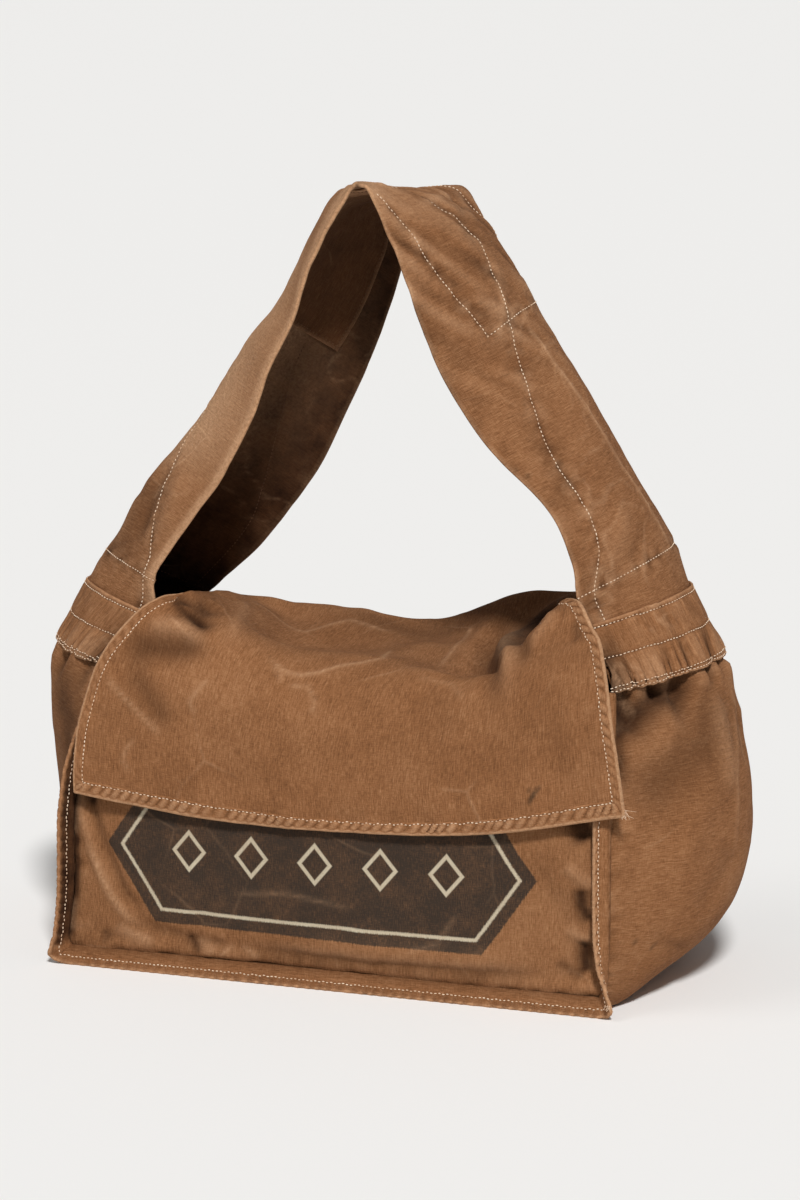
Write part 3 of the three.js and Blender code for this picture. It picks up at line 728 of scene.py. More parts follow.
def panelPrint(tree, cloth, pattern, colour):
    look = printLook
    parts = addNode(tree, "ShaderNodeSeparateXYZ", {0: cloth})
    x = calc(tree, "SUBTRACT", parts.outputs[0], look["middle"][0])
    y = calc(tree, "ABSOLUTE", calc(tree, "SUBTRACT", parts.outputs[1], look["middle"][1]))
    slope = look["point"] / look["halfHeight"]
    slant = calc(tree, "MULTIPLY_ADD", y, slope, calc(tree, "ABSOLUTE", x))
    ends = calc(tree, "SUBTRACT", slant, look["halfLength"] + look["point"])
    outline = calc(tree, "MAXIMUM", calc(tree, "DIVIDE", ends, math.hypot(1, slope)),
                   calc(tree, "SUBTRACT", y, look["halfHeight"]))
    ragged = centred(tree, pattern["slub"], look["ragged"], outline)

    def below(value, limit, soft=look["softness"]):
        return rangeNode(tree, value, limit - soft, limit + soft, 1, 0)

    field = below(ragged, 0)
    line = calc(tree, "ABSOLUTE", calc(tree, "ADD", ragged, look["lineInset"]))
    halfPitch = look["diamondPitch"] / 2
    cell = calc(tree, "PINGPONG", calc(tree, "ADD", x, halfPitch), halfPitch)
    cell = calc(tree, "SUBTRACT", halfPitch, cell)
    diamond = calc(tree, "ADD", calc(tree, "DIVIDE", cell, look["diamondWidth"] / 2),
                   calc(tree, "DIVIDE", y, look["diamondHeight"] / 2))
    middle, halfWide = look["ring"]
    fromRing = calc(tree, "ABSOLUTE", calc(tree, "SUBTRACT", diamond, middle))
    inRow = below(calc(tree, "ABSOLUTE", x), look["diamonds"] * halfPitch)
    cream = calc(tree, "MAXIMUM", below(line, look["lineWidth"] / 2),
                 calc(tree, "MULTIPLY", below(fromRing, halfWide, look["ringSoftness"]), inRow))
    faded = centred(tree, pattern["mottle"], -0.5, look["cover"])
    faded = centred(tree, pattern["slub"], -1.0, faded)
    ink = blendColour(tree, cream, linear(look["ink"]), linear(look["cream"]))
    return blendColour(tree, limited(tree, calc(tree, "MULTIPLY", field, faded)), colour, ink)


# Stitches: Geometry Nodes set short thread beads along each line of points
stitch = {"pitch": 0.0034, "length": 0.0025, "thread": 0.0005, "seed": 7, "spread": (0.8, 1.12)}


def stitchTree():
    tree = bpy.data.node_groups.new("stitch_rows", "GeometryNodeTree")
    sockets = [("Geometry", "Geometry"), ("Pitch", "Float"), ("Stitch Length", "Float"),
               ("Thread Radius", "Float"), ("Seed", "Int"), ("Thread", "Material")]
    for label, kind in sockets:
        tree.interface.new_socket(label, in_out="INPUT", socket_type="NodeSocket" + kind)
    tree.interface.new_socket("Geometry", in_out="OUTPUT", socket_type="NodeSocketGeometry")
    start = tree.nodes.new("NodeGroupInput").outputs
    curve = addNode(tree, "GeometryNodeMeshToCurve", {0: start["Geometry"]}).outputs[0]
    values = {0: curve, "Length": start["Pitch"]}
    rows = addNode(tree, "GeometryNodeResampleCurve", values, mode="LENGTH").outputs[0]
    values = {"Radius": 1.0, "Subdivisions": 1}
    bead = addNode(tree, "GeometryNodeMeshIcoSphere", values).outputs[0]
    bead = addNode(tree, "GeometryNodeSetShadeSmooth", {0: bead}).outputs[0]
    values = {"Vector": tree.nodes.new("GeometryNodeInputTangent").outputs[0]}
    turn = addNode(tree, "FunctionNodeAlignRotationToVector", values, axis="Z").outputs[0]
    spread = addNode(tree, "FunctionNodeRandomValue", {"Seed": start["Seed"]}, data_type="FLOAT")
    limits = [s for s in spread.inputs if s.type == "VALUE" and s.name in ("Min", "Max")]
    limits[0].default_value, limits[1].default_value = stitch["spread"]
    chance = next(s for s in spread.outputs if s.type == "VALUE")
    half = calc(tree, "MULTIPLY", start["Stitch Length"], 0.5)
    radius = start["Thread Radius"]
    values = {0: radius, 1: radius, 2: calc(tree, "MULTIPLY", half, chance)}
    size = addNode(tree, "ShaderNodeCombineXYZ", values).outputs[0]
    values = {"Points": rows, "Instance": bead, "Rotation": turn, "Scale": size}
    placed = addNode(tree, "GeometryNodeInstanceOnPoints", values).outputs[0]
    values = {"Geometry": addNode(tree, "GeometryNodeRealizeInstances", {0: placed}).outputs[0],
              "Material": start["Thread"]}
    painted = addNode(tree, "GeometryNodeSetMaterial", values).outputs[0]
    addNode(tree, "NodeGroupOutput", {0: painted})
    return tree


def sew(name, lines, thread):
    edges, first = [], 0
    for line in lines:
        edges += [(first + k, first + k + 1) for k in range(len(line) - 1)]
        first += len(line)
    mesh = bpy.data.meshes.new(name + "_path")
    mesh.from_pydata(np.concatenate(lines).tolist(), edges, [])
    path = bpy.data.objects.new(name + "_path", mesh)
    bpy.context.scene.collection.objects.link(path)
    modifier = path.modifiers.new("stitches", "NODES")
    modifier.node_group = stitchRows
    sizes = {
        "Pitch": stitch["pitch"], "Stitch Length": stitch["length"],
        "Thread Radius": stitch["thread"], "Seed": stitch["seed"], "Thread": thread,
    }
    for socket in stitchRows.interface.items_tree:
        if socket.in_out == "INPUT" and socket.name in sizes:
            modifier[socket.identifier] = sizes[socket.name]
    bpy.context.view_layer.update()
    evaluated = path.evaluated_get(bpy.context.evaluated_depsgraph_get())
    made = bpy.data.meshes.new_from_object(evaluated)
    made.name = name
    bpy.data.objects.remove(path)
    print(name, len(made.polygons), "faces")
    return addPiece(name, made)


def makeThreads(name, paths, radius, material, sides=5):
    points, faces = [], []
    turns = [2 * math.pi * i / sides for i in range(sides)]
    for path in paths:
        tangent = unit(np.gradient(path, axis=0))
        across = unit(np.cross(tangent, [0.3, 0.2, 0.93]))
        upward = np.cross(tangent, across)
        start, last = len(points), len(path) - 1
        for k in range(last + 1):
            thin = radius * (1 - 0.5 * k / last)
            points += [
                path[k] + thin * (math.cos(a) * across[k] + math.sin(a) * upward[k]) for a in turns
            ]
        for low in range(start, start + last * sides, sides):
            for i in range(sides):
                j = (i + 1) % sides
                faces.append((low + i, low + j, low + sides + j, low + sides + i))
        faces.append([start + i for i in reversed(range(sides))])
        faces.append([start + last * sides + i for i in range(sides)])
    mesh = bpy.data.meshes.new(name)
    mesh.from_pydata([point.tolist() for point in points], [], faces)
    mesh.materials.append(material)
    return addPiece(name, mesh)


# Places (row index, share) at a gap in metres from the left, right, first or last edge
def edgeLine(cloth, edge, gap, firstRow=None, count=200):
    rows, shares = cloth["rows"], cloth["shares"]
    if edge in ("first", "last"):
        length = cloth["y"][:, 0]
        row = np.interp(gap if edge == "first" else length[-1] - gap, length, rows)
        return np.stack([np.full(count, row), np.linspace(0, 1, count)], 1)
    index = np.linspace(rows[0] if firstRow is None else firstRow, rows[-1], count)
    if edge == "left":
        found = [np.interp(gap, values, shares) for values in cloth["leftGap"]]
    else:
        found = [np.interp(gap, values[::-1], shares[::-1]) for values in cloth["rightGap"]]
    return np.stack([index, np.interp(index, rows, found)], 1)


bodyCanvas = canvasMaterial("body_canvas")
frontCanvas = canvasMaterial(
    "printed_front_canvas", {"middle": (146, 100, 65), "creaseWear": 0.14}, panelPrint)
edgeCanvas = canvasMaterial("edge_canvas", {"mottle": 75, "creaseDepth": 0.0002})
strapCanvas = canvasMaterial("strap_canvas", {"middle": (142, 96, 62), "creases": 20})
thread = threadMaterial("stitching_thread", threadLook)
darkened = threadMaterial("shaded_thread", shadedThread)
stitchRows = stitchTree()
print("materials made")


# Gusset strip: both side gussets and the base
gussetStrip = {
    "across": 86,
    "rows": 350,
    "ends": (-0.38, 25.38),
    # rows over which it goes under the bands, and on to the floor and off it
    "under": {"right": (24.75, 25.0), "left": (-0.75, -1.0), "depth": 0.001},
    "onFloor": (9.6, 10.2), "offFloor": (15.4, 14.8),
    "crumple": {"waves": [(0.09, 0.0016), (0.035, 0.0007), (0.012, 0.0002)],
                "ridges": (0.04, 0.0004), "ridgeWear": 0.05},
    "pucker": {"pitch": 0.007, "height": 0.0012, "reach": 0.009},
    # lines in row and share, width, height, wear and grime; the grime in the hollows is painted
    # shade, the wear on the ridges partly painted highlight
    "folds": [
        ([(25.2, 0.2), (24.77, 0.176), (24.52, 0.121), (24.06, 0.07), (23.75, 0.035),
          (23.44, 0.015)], 0.0125, -0.011, 0, 1.0),
        ([(24.6, 0.5), (23.8, 0.38), (23.0, 0.3), (22.74, 0.211), (22.43, 0.131), (21.9, 0.03)],
          0.024, -0.005, 0, 0.42),
        ([(25.3, 0.02), (25.0, 0.012), (24.06, 0.01), (23.3, 0.012), (22.2, 0.02)],
          0.007, -0.002, 0, 0.8),
        ([(24.3, 0.41), (23.42, 0.392), (22.61, 0.377), (21.83, 0.342)], 0.009, 0.004, 0.3, 0),
        ([(25.2, 0.3), (24.6, 0.27), (24.1, 0.3)], 0.008, -0.006, 0, 0.5),
        ([(25.2, 0.42), (24.7, 0.43), (24.3, 0.45)], 0.006, -0.005, 0, 0.5),
        ([(-0.2, 0.22), (0.8, 0.2), (1.7, 0.13), (2.1, 0.07), (3.0, 0.05), (4.5, 0.045),
          (7.0, 0.05)], 0.02, -0.002, 0, 0.75),
        ([(25.1, 0.01), (24.76, 0.03), (24.3, 0.055), (24.02, 0.08)], 0.004, 0.004, 0.3, 0),
        ([(25.0, 0.2), (24.3, 0.2), (23.5, 0.16), (22.8, 0.1)], 0.012, 0.004, 0.05, 0),
        ([(22.7, 0.32), (22.0, 0.24), (21.2, 0.2), (20.4, 0.17)], 0.018, 0.004, 0, 0),
        ([(20.84, 0.432), (20.08, 0.34), (19.33, 0.243)], 0.014, -0.003, 0, 0.1),
        ([(23.6, 0.58), (23.0, 0.52), (22.3, 0.5)], 0.006, -0.003, 0, 0.3),
        ([(23.4, 0.62), (22.2, 0.66), (20.8, 0.64)], 0.018, -0.003, 0, 0.1),
        ([(2.4, 0.15), (3.6, 0.2), (5.0, 0.22)], 0.016, -0.003, 0, 0.15),
        ([(0.4, 0.3), (2.0, 0.36), (4.0, 0.4), (6.5, 0.42)], 0.02, -0.004, 0, 0.1),
        ([(19.2, 0.1), (18.4, 0.22), (17.9, 0.36)], 0.006, -0.0022, 0, 0.15),
        ([(19.6, 0.04), (18.9, 0.12), (18.6, 0.22)], 0.005, 0.0018, 0, 0),
    ],
    # lines in row and share, width, height and wear
    "creases": [
        ([(20.3, 0.4), (21.2, 0.395), (22.2, 0.4), (23.0, 0.46), (23.8, 0.52)],
          0.002, 0.0012, 0.35),
        ([(24.3, 0.53), (23.6, 0.535), (22.9, 0.52), (22.2, 0.5)], 0.0018, 0.0008, 0.6),
        ([(24.4, 0.62), (23.5, 0.63), (22.4, 0.6)], 0.0018, 0.0008, 0.45),
    ],
    "spots": [
        ([(18.55, 0.13), (18.67, 0.136)], 0.003, 0.6), ([(18.76, 0.066), (18.88, 0.072)],
          0.0022, 0.6),
    ],
    # share and depth of each gather, its width, its length in rows and its drift
    "rightGathers": [
        (0.03, -0.007, 0.006, 1.3, 0.015), (0.085, 0.003, 0.005, 0.9, 0.02),
        (0.14, -0.008, 0.006, 1.0, 0.02), (0.195, 0.003, 0.005, 0.8, 0.02),
        (0.27, -0.011, 0.0095, 1.6, -0.09), (0.35, 0.004, 0.006, 0.9, 0.02),
        (0.41, -0.006, 0.006, 0.6, 0.01), (0.47, 0.003, 0.006, 0.7, 0.0),
        (0.53, -0.004, 0.005, 0.6, 0.0), (0.6, 0.0035, 0.008, 1.5, -0.02),
        (0.67, -0.005, 0.007, 1.2, -0.02), (0.75, 0.003, 0.006, 0.9, -0.02),
        (0.83, -0.006, 0.006, 1.3, -0.02), (0.93, 0.002, 0.006, 0.8, -0.01),
    ],
    "leftGathers": [
        (0.05, -0.004, 0.008, 1.6, 0.01), (0.14, 0.003, 0.008, 1.0, 0.01),
        (0.22, -0.006, 0.009, 1.8, 0.03), (0.31, 0.003, 0.008, 1.2, 0.03),
        (0.4, -0.0045, 0.008, 1.3, 0.02), (0.52, 0.003, 0.01, 1.5, 0.0),
        (0.63, -0.004, 0.008, 1.1, -0.02), (0.74, 0.0025, 0.008, 0.9, -0.02),
        (0.84, -0.0045, 0.008, 1.4, -0.02), (0.94, 0.002, 0.006, 0.8, -0.01),
    ],
}


# Gathers run down a gusset from its band; way is the step from its top row to the next. Their
# hollows get painted shade, their crests are rubbed light
def addGathers(cloth, gathers, top, way, wearAndHighlight, grimeAndShade, deeper=1.0):
    for share, depth, width, length, drift in gathers:
        places = [
            (top - way * 0.45, share), (top + way * length / 2, share + drift / 2),
            (top + way * length, share + drift),
        ]
        addFold(cloth, places, width, deeper * depth, fade=0.55,
                wearAndHighlight=wearAndHighlight if depth > 0 else 0, grimeAndShade=grimeAndShade if depth < 0 else 0)


def makeGussetStrip():
    settings = gussetStrip
    rows = evenRows(ringGrid, *settings["ends"], settings["rows"])
    cloth = layCloth(ringGrid, rows, np.linspace(0, 1, settings["across"]))
    addCrumple(cloth, settings["crumple"], 11)
    addGathers(cloth, settings["rightGathers"], rightTop, -1, wearAndHighlight=0.3, grimeAndShade=0.9, deeper=1.4)
    addGathers(cloth, settings["leftGathers"], 0, 1, wearAndHighlight=0, grimeAndShade=0.5)
    puckerEdges(cloth, ("left", "right"), settings["pucker"], 31)
    for places, width, height, wearAndHighlight in settings["creases"]:
        addFold(cloth, places, width, height, wearAndHighlight=wearAndHighlight, sharp=True)
    addFolds(cloth, settings["folds"])
    addSpots(cloth, settings["spots"])
    under = settings["under"]
    hidden = (smooth(*under["right"], rows) + smooth(*under["left"], rows))[:, None]
    low = np.minimum(cloth["lift"], 0) - under["depth"]
    cloth["lift"] = mix(cloth["lift"], low, hidden)
    onFloor = smooth(*settings["onFloor"], rows) * smooth(*settings["offFloor"], rows)
    cloth["lift"] *= 1 - onFloor[:, None]
    return shape(cloth)


gussetPiece = buildCloth("gusset_strip_canvas", makeGussetStrip(), bag["canvas"], "gusset_strip",
                         bodyCanvas, turned=True)


# Strap: two layers of canvas with one lapped seam along its outside
strapDetail = {
    "across": 78,
    "rows": 330,
    "ends": (25.41, 46.59),
    "crumple": {"waves": [(0.07, 0.0005), (0.03, 0.0006), (0.011, 0.0003)],
                "ridges": (0.024, 0.0007), "ridgeWear": 0.3},
    "pucker": {"pitch": 0.0065, "height": 0.0011, "reach": 0.006},
    "edgePucker": {"pitch": 0.014, "height": 0.0006, "reach": 0.007},
    "lap": 0.0009,
    # crisp little creases at the crown: rows over which they come and go, sizes, height
    "crown": {"comes": (29.6, 31.8), "goes": (37.5, 35.5), "sizes": (0.011, 0.016, 0.03),
              "height": 0.0017},
    # lines in section index and share from the front edge
    "seam": [
        (25.6, 0.04), (26.75, 0.05), (27.53, 0.08), (28.21, 0.12), (28.78, 0.13), (29.43, 0.145),
        (30.24, 0.22), (30.7, 0.266), (31.53, 0.345), (31.87, 0.375), (32.49, 0.43), (33.2, 0.45),
        (33.58, 0.42), (34.16, 0.37), (34.83, 0.31), (35.5, 0.3), (36.2, 0.33), (37.2, 0.4),
        (38.4, 0.43), (39.6, 0.42), (40.6, 0.38), (41.6, 0.3), (42.73, 0.2), (43.45, 0.135),
        (44.26, 0.05), (45.2, 0.04), (46.4, 0.04),
    ],
    "backSeam": [(25.6, 0.95), (28.0, 0.94), (30.5, 0.92), (33.0, 0.88), (35.5, 0.8), (37.5, 0.74),
                 (39.33, 0.749), (40.81, 0.834), (41.95, 0.915), (43.07, 0.95), (46.4, 0.96)],
    "crease": [(26.8, 0.53), (27.4, 0.525), (28.95, 0.49), (29.88, 0.477), (30.8, 0.457),
               (31.4, 0.437)],
    "leftCrease": [(44.5, 0.5), (43.0, 0.52), (41.5, 0.5), (40.0, 0.48), (38.8, 0.47)],
    "rightCross": [(27.02, 0.0), (27.05, 0.12), (27.09, 0.3), (27.11, 0.5), (27.12, 0.75),
                   (27.1, 1.0)],
    "leftCross": [(44.98, 0.0), (44.96, 0.2), (44.94, 0.38), (44.94, 0.7), (44.95, 1.0)],
    "patchLong": [(34.48, 0.035), (33.89, 0.075), (33.26, 0.1), (32.55, 0.13), (31.83, 0.185),
                  (31.34, 0.211)],
    "patchCross": [(31.34, 0.211), (31.43, 0.342), (31.47, 0.45), (31.5, 0.72), (31.5, 0.92)],
    "folds": [
        ([(27.3, 0.1), (28.0, 0.22), (28.6, 0.36)], 0.007, 0.0018, 0.15, 0),
        ([(27.2, 0.2), (27.8, 0.33), (28.2, 0.45)], 0.006, -0.0016, 0, 0.2),
        ([(28.6, 0.03), (29.3, 0.12), (30.2, 0.2)], 0.01, -0.0018, 0, 0.2),
        ([(31.0, 0.3), (31.9, 0.38), (32.6, 0.52)], 0.007, 0.0014, 0.2, 0),
        ([(32.8, 0.35), (33.5, 0.5), (34.2, 0.66)], 0.006, -0.0014, 0, 0.2),
        ([(33.4, 0.55), (34.1, 0.7), (34.9, 0.85)], 0.006, 0.0016, 0.3, 0),
        ([(33.9, 0.2), (34.3, 0.45), (34.6, 0.7)], 0.004, 0.001, 0.35, 0),
        ([(42.3, 0.27), (43.0, 0.24), (43.6, 0.2), (44.3, 0.15)], 0.009, -0.0055, 0, 0.2),
        ([(42.3, 0.15), (43.0, 0.1), (43.7, 0.05)], 0.008, 0.003, 0.15, 0),
        ([(43.2, 0.36), (44.0, 0.32), (44.7, 0.3)], 0.007, 0.002, 0.15, 0),
        ([(34.9, 0.1), (35.3, 0.3), (35.5, 0.55)], 0.004, 0.0012, 0.35, 0),
        ([(35.7, 0.05), (36.1, 0.25), (36.2, 0.45)], 0.004, 0.001, 0.3, 0),
        ([(33.6, 0.55), (34.5, 0.6), (35.4, 0.68)], 0.003, 0.0012, 0.4, 0),
        # a broad painted highlight over the left leg's outer face, then painted shade low on that
        # leg
        ([(36.5, 0.4), (38.5, 0.42), (40.5, 0.38), (43.0, 0.3)], 0.06, 0, 1.1, 0),
        ([(42.6, 0.3), (43.6, 0.25), (44.6, 0.22), (45.6, 0.2)], 0.03, 0, 0, 0.4),
    ],
    "spots": [
        ([(29.45, 0.02), (29.47, 0.03)], 0.003, 0.6), ([(29.42, 0.15), (29.44, 0.16)], 0.0035, 0.6),
        ([(29.6, 0.01), (29.62, 0.02)], 0.002, 0.6),
    ],
}


def puckerLine(cloth, places, settings, seed):
    distance, share = lineDistance(cloth, places)
    px, py = readAt(cloth, cloth["x"], places), readAt(cloth, cloth["y"], places)
    run = share * np.hypot(np.diff(px), np.diff(py)).sum()
    addPuckers(cloth, distance, run, settings, seed)
    wave = noise(run / settings["pitch"] + 0.4, distance / settings["reach"] + 2, seed + 40)
    paint(cloth, wave, np.exp(-distance / settings["reach"]), 0.55, 0.4)
    cloth["lift"] -= 0.0005 * near(distance, 0.0018)
    cloth["grimeAndShade"] += 0.25 * near(distance, 0.0015)


# Painted highlight along the front edge of the left leg's top: the inner face's painted shade is
# taken off there and the cloth lightened
def paintFrontHighlight(cloth, width):
    down = smooth(38.8, 35.2, cloth["rows"])[:, None]
    where = near(cloth["leftGap"], 0.005 + width * down) * smooth(34, 35, cloth["rows"])[:, None]
    cloth["grimeAndShade"] -= 1.2 * where
    cloth["wearAndHighlight"] += 1.3 * where


def makeStrap():
    settings = strapDetail
    rows = evenRows(ringGrid, *settings["ends"], settings["rows"])
    cloth = layCloth(ringGrid, rows, np.linspace(0, 1, settings["across"]))
    addCrumple(cloth, settings["crumple"], 51)
    share = np.interp(rows, *zip(*settings["seam"]))[:, None]
    beside = (cloth["shares"][None, :] - share) * cloth["leftGap"][:, -1:]
    cloth["lift"] += settings["lap"] * smooth(0.002, -0.002, beside)
    for number, key in enumerate(("seam", "rightCross", "leftCross", "patchLong", "patchCross")):
        puckerLine(cloth, settings[key], settings["pucker"], 60 + number)
    puckerEdges(cloth, ("left", "right"), settings["edgePucker"], 71)
    cloth["wearAndHighlight"] += 0.35 * (near(cloth["leftGap"], 0.001) + near(cloth["rightGap"], 0.001))
    crown = settings["crown"]
    here = (smooth(*crown["comes"], rows) * smooth(*crown["goes"], rows))[:, None]
    across, slanting, long = crown["sizes"]
    crisp = noise(cloth["x"] / across + cloth["y"] / slanting, cloth["y"] / long, 77)
    cloth["lift"] += crown["height"] * crisp * here
    paint(cloth, crisp, here, 0.5, 0.55)
    for key in ("crease", "leftCrease"):
        addFold(cloth, settings[key], 0.0016, 0.0008, wearAndHighlight=0.75, sharp=True, fade=0.1)
    addFolds(cloth, settings["folds"])
    paintFrontHighlight(cloth, 0.02)
    addSpots(cloth, settings["spots"])
    return shape(cloth)


strapCloth = makeStrap()
# the strap's inner face gets strong painted shade
strapPiece = buildCloth("strap_canvas", strapCloth, bag["strapCloth"], "strap",
                        strapCanvas, innerShade=1.05, turned=True)


# Shoulder patch on the inside of the strap's top, cut a little askew
patch = {
    "across": 60, "rows": 110, "rightRow": 31.5, "leftRow": 39.1,
    "right": (0.22, 0.96), "left": (0.04, 0.88), "gap": 0.0006,
    "edge": {"rubbed": 0.0012, "pitch": 0.007, "reach": 0.006},
    "creases": [
        [(34.9, 0.42), (35.8, 0.3), (36.9, 0.16), (37.8, 0.05)],
        [(35.0, 0.62), (36.0, 0.5), (37.2, 0.42)], [(35.6, 0.12), (36.2, 0.2), (36.6, 0.3)],
    ],
}


def patchSurface(rows, shares):
    t = (np.asarray(rows) - patch["rightRow"]) / (patch["leftRow"] - patch["rightRow"])
    front, back = (mix(a, b, t) for a, b in zip(patch["right"], patch["left"]))
    grid = [[(row, mix(a, b, s)) for s in shares] for row, a, b in zip(rows, front, back)]
    lift = -(bag["strapCloth"] + bag["canvas"]) / 2 - patch["gap"]
    points = pointsOn(strapCloth, np.reshape(grid, (-1, 2)), lift)
    return points.reshape(len(rows), len(shares), 3)


def makePatch():
    rows = np.linspace(patch["rightRow"], patch["leftRow"], patch["rows"])
    cloth = layCloth(patchSurface, rows, np.linspace(0, 1, patch["across"]))
    edge = patch["edge"]
    for seed, (gap, run) in enumerate(edgeGaps(cloth, ("left", "right", "first", "last")), 81):
        cloth["wearAndHighlight"] += 0.5 * near(gap, edge["rubbed"])
        wave = noise(run / edge["pitch"], 3, seed)
        cloth["grimeAndShade"] += 0.4 * np.clip(wave, 0, 1) * np.exp(-gap / edge["reach"])
    # painted highlight along the front edge
    paintFrontHighlight(cloth, 0.03)
    for places in patch["creases"]:
        addFold(cloth, places, 0.004, 0.0016, wearAndHighlight=0.5, sharp=True)
    return shape(cloth)


patchCloth = makePatch()
# the patch lies on the strap's inner face and gets painted shade there
patchPiece = buildCloth("shoulder_patch_canvas", patchCloth, bag["canvas"], "shoulder_patch",
                        strapCanvas, innerShade=0.75)


# Bands that join strap and gussets, gathered along their lower half
band = {
    "across": 150, "rows": 46, "gap": 0.0009, "tuck": 0.0005,
    "gather": {"pitch": 0.0072, "depth": 0.003},
    "lines": (0.035, 0.095, 0.5, 0.93),
    "crumple": {"waves": [(0.03, 0.0008), (0.012, 0.0003)],
                "ridges": (0.016, 0.0006), "ridgeWear": 0.35},
}


def makeBand(low, high, seed):    # the ring's sections at the band's lower and upper edge
    rows = np.linspace(min(low, high), max(low, high), band["rows"])
    cloth = layCloth(ringGrid, rows, np.linspace(0, 1, band["across"]))
    up = np.broadcast_to(((rows - low) / (high - low))[:, None], cloth["x"].shape)
    addCrumple(cloth, band["crumple"], seed)
    pitch = band["gather"]["pitch"]
    sway = noise(up * 2.3, cloth["x"] / 0.02, seed + 4) * 0.35
    wave = 0.8 * noise(cloth["x"] / pitch + sway, up * 0.8, seed + 5)
    wave += 0.4 * noise(2.3 * cloth["x"] / pitch + sway, up * 1.5, seed + 6)
    gathered = smooth(0.62, 0.25, up) * smooth(-0.1, 0.1, up) + smooth(0.5, 0.7, up) * 0.25
    cloth["lift"] += band["gather"]["depth"] * wave * gathered
    # the gathers' hollows get painted shade and their crests are rubbed light; the band's front
    # end, beside the flap's hem, gets painted shade
    paint(cloth, wave, gathered, 0.5, 1.1)
    cloth["grimeAndShade"] += 0.9 * near(cloth["leftGap"], 0.014) * smooth(0.95, 0.4, up)
    height = np.ptp(cloth["y"][:, 0])
    for line in band["lines"]:
        away = np.abs(up - line) * height
        cloth["lift"] -= 0.0007 * near(away, 0.002)
        cloth["grimeAndShade"] += 0.3 * near(away, 0.0016)
    cloth["wearAndHighlight"] += 0.35 * near(np.minimum(up, 1 - up) * height, 0.001)
    cloth["lift"] -= band["tuck"] * smooth(0.35, 0, up)
    return shape(cloth)


bandOffset = bag["strapCloth"] / 2 + band["gap"] + bag["canvas"] / 2
bandPieces, bandCloths = {}, {}
for name, low, high, seed in (
    ("right", rightTop, rightBand, 91), ("left", leftTop, leftBand, 101),
):
    bandCloths[name] = makeBand(low, high, seed)
    bandPieces[name] = buildCloth(
        "strap_band_canvas_" + name, bandCloths[name], bag["canvas"],
        "strap_band_" + name, edgeCanvas, offset=bandOffset, roundness=0.5)


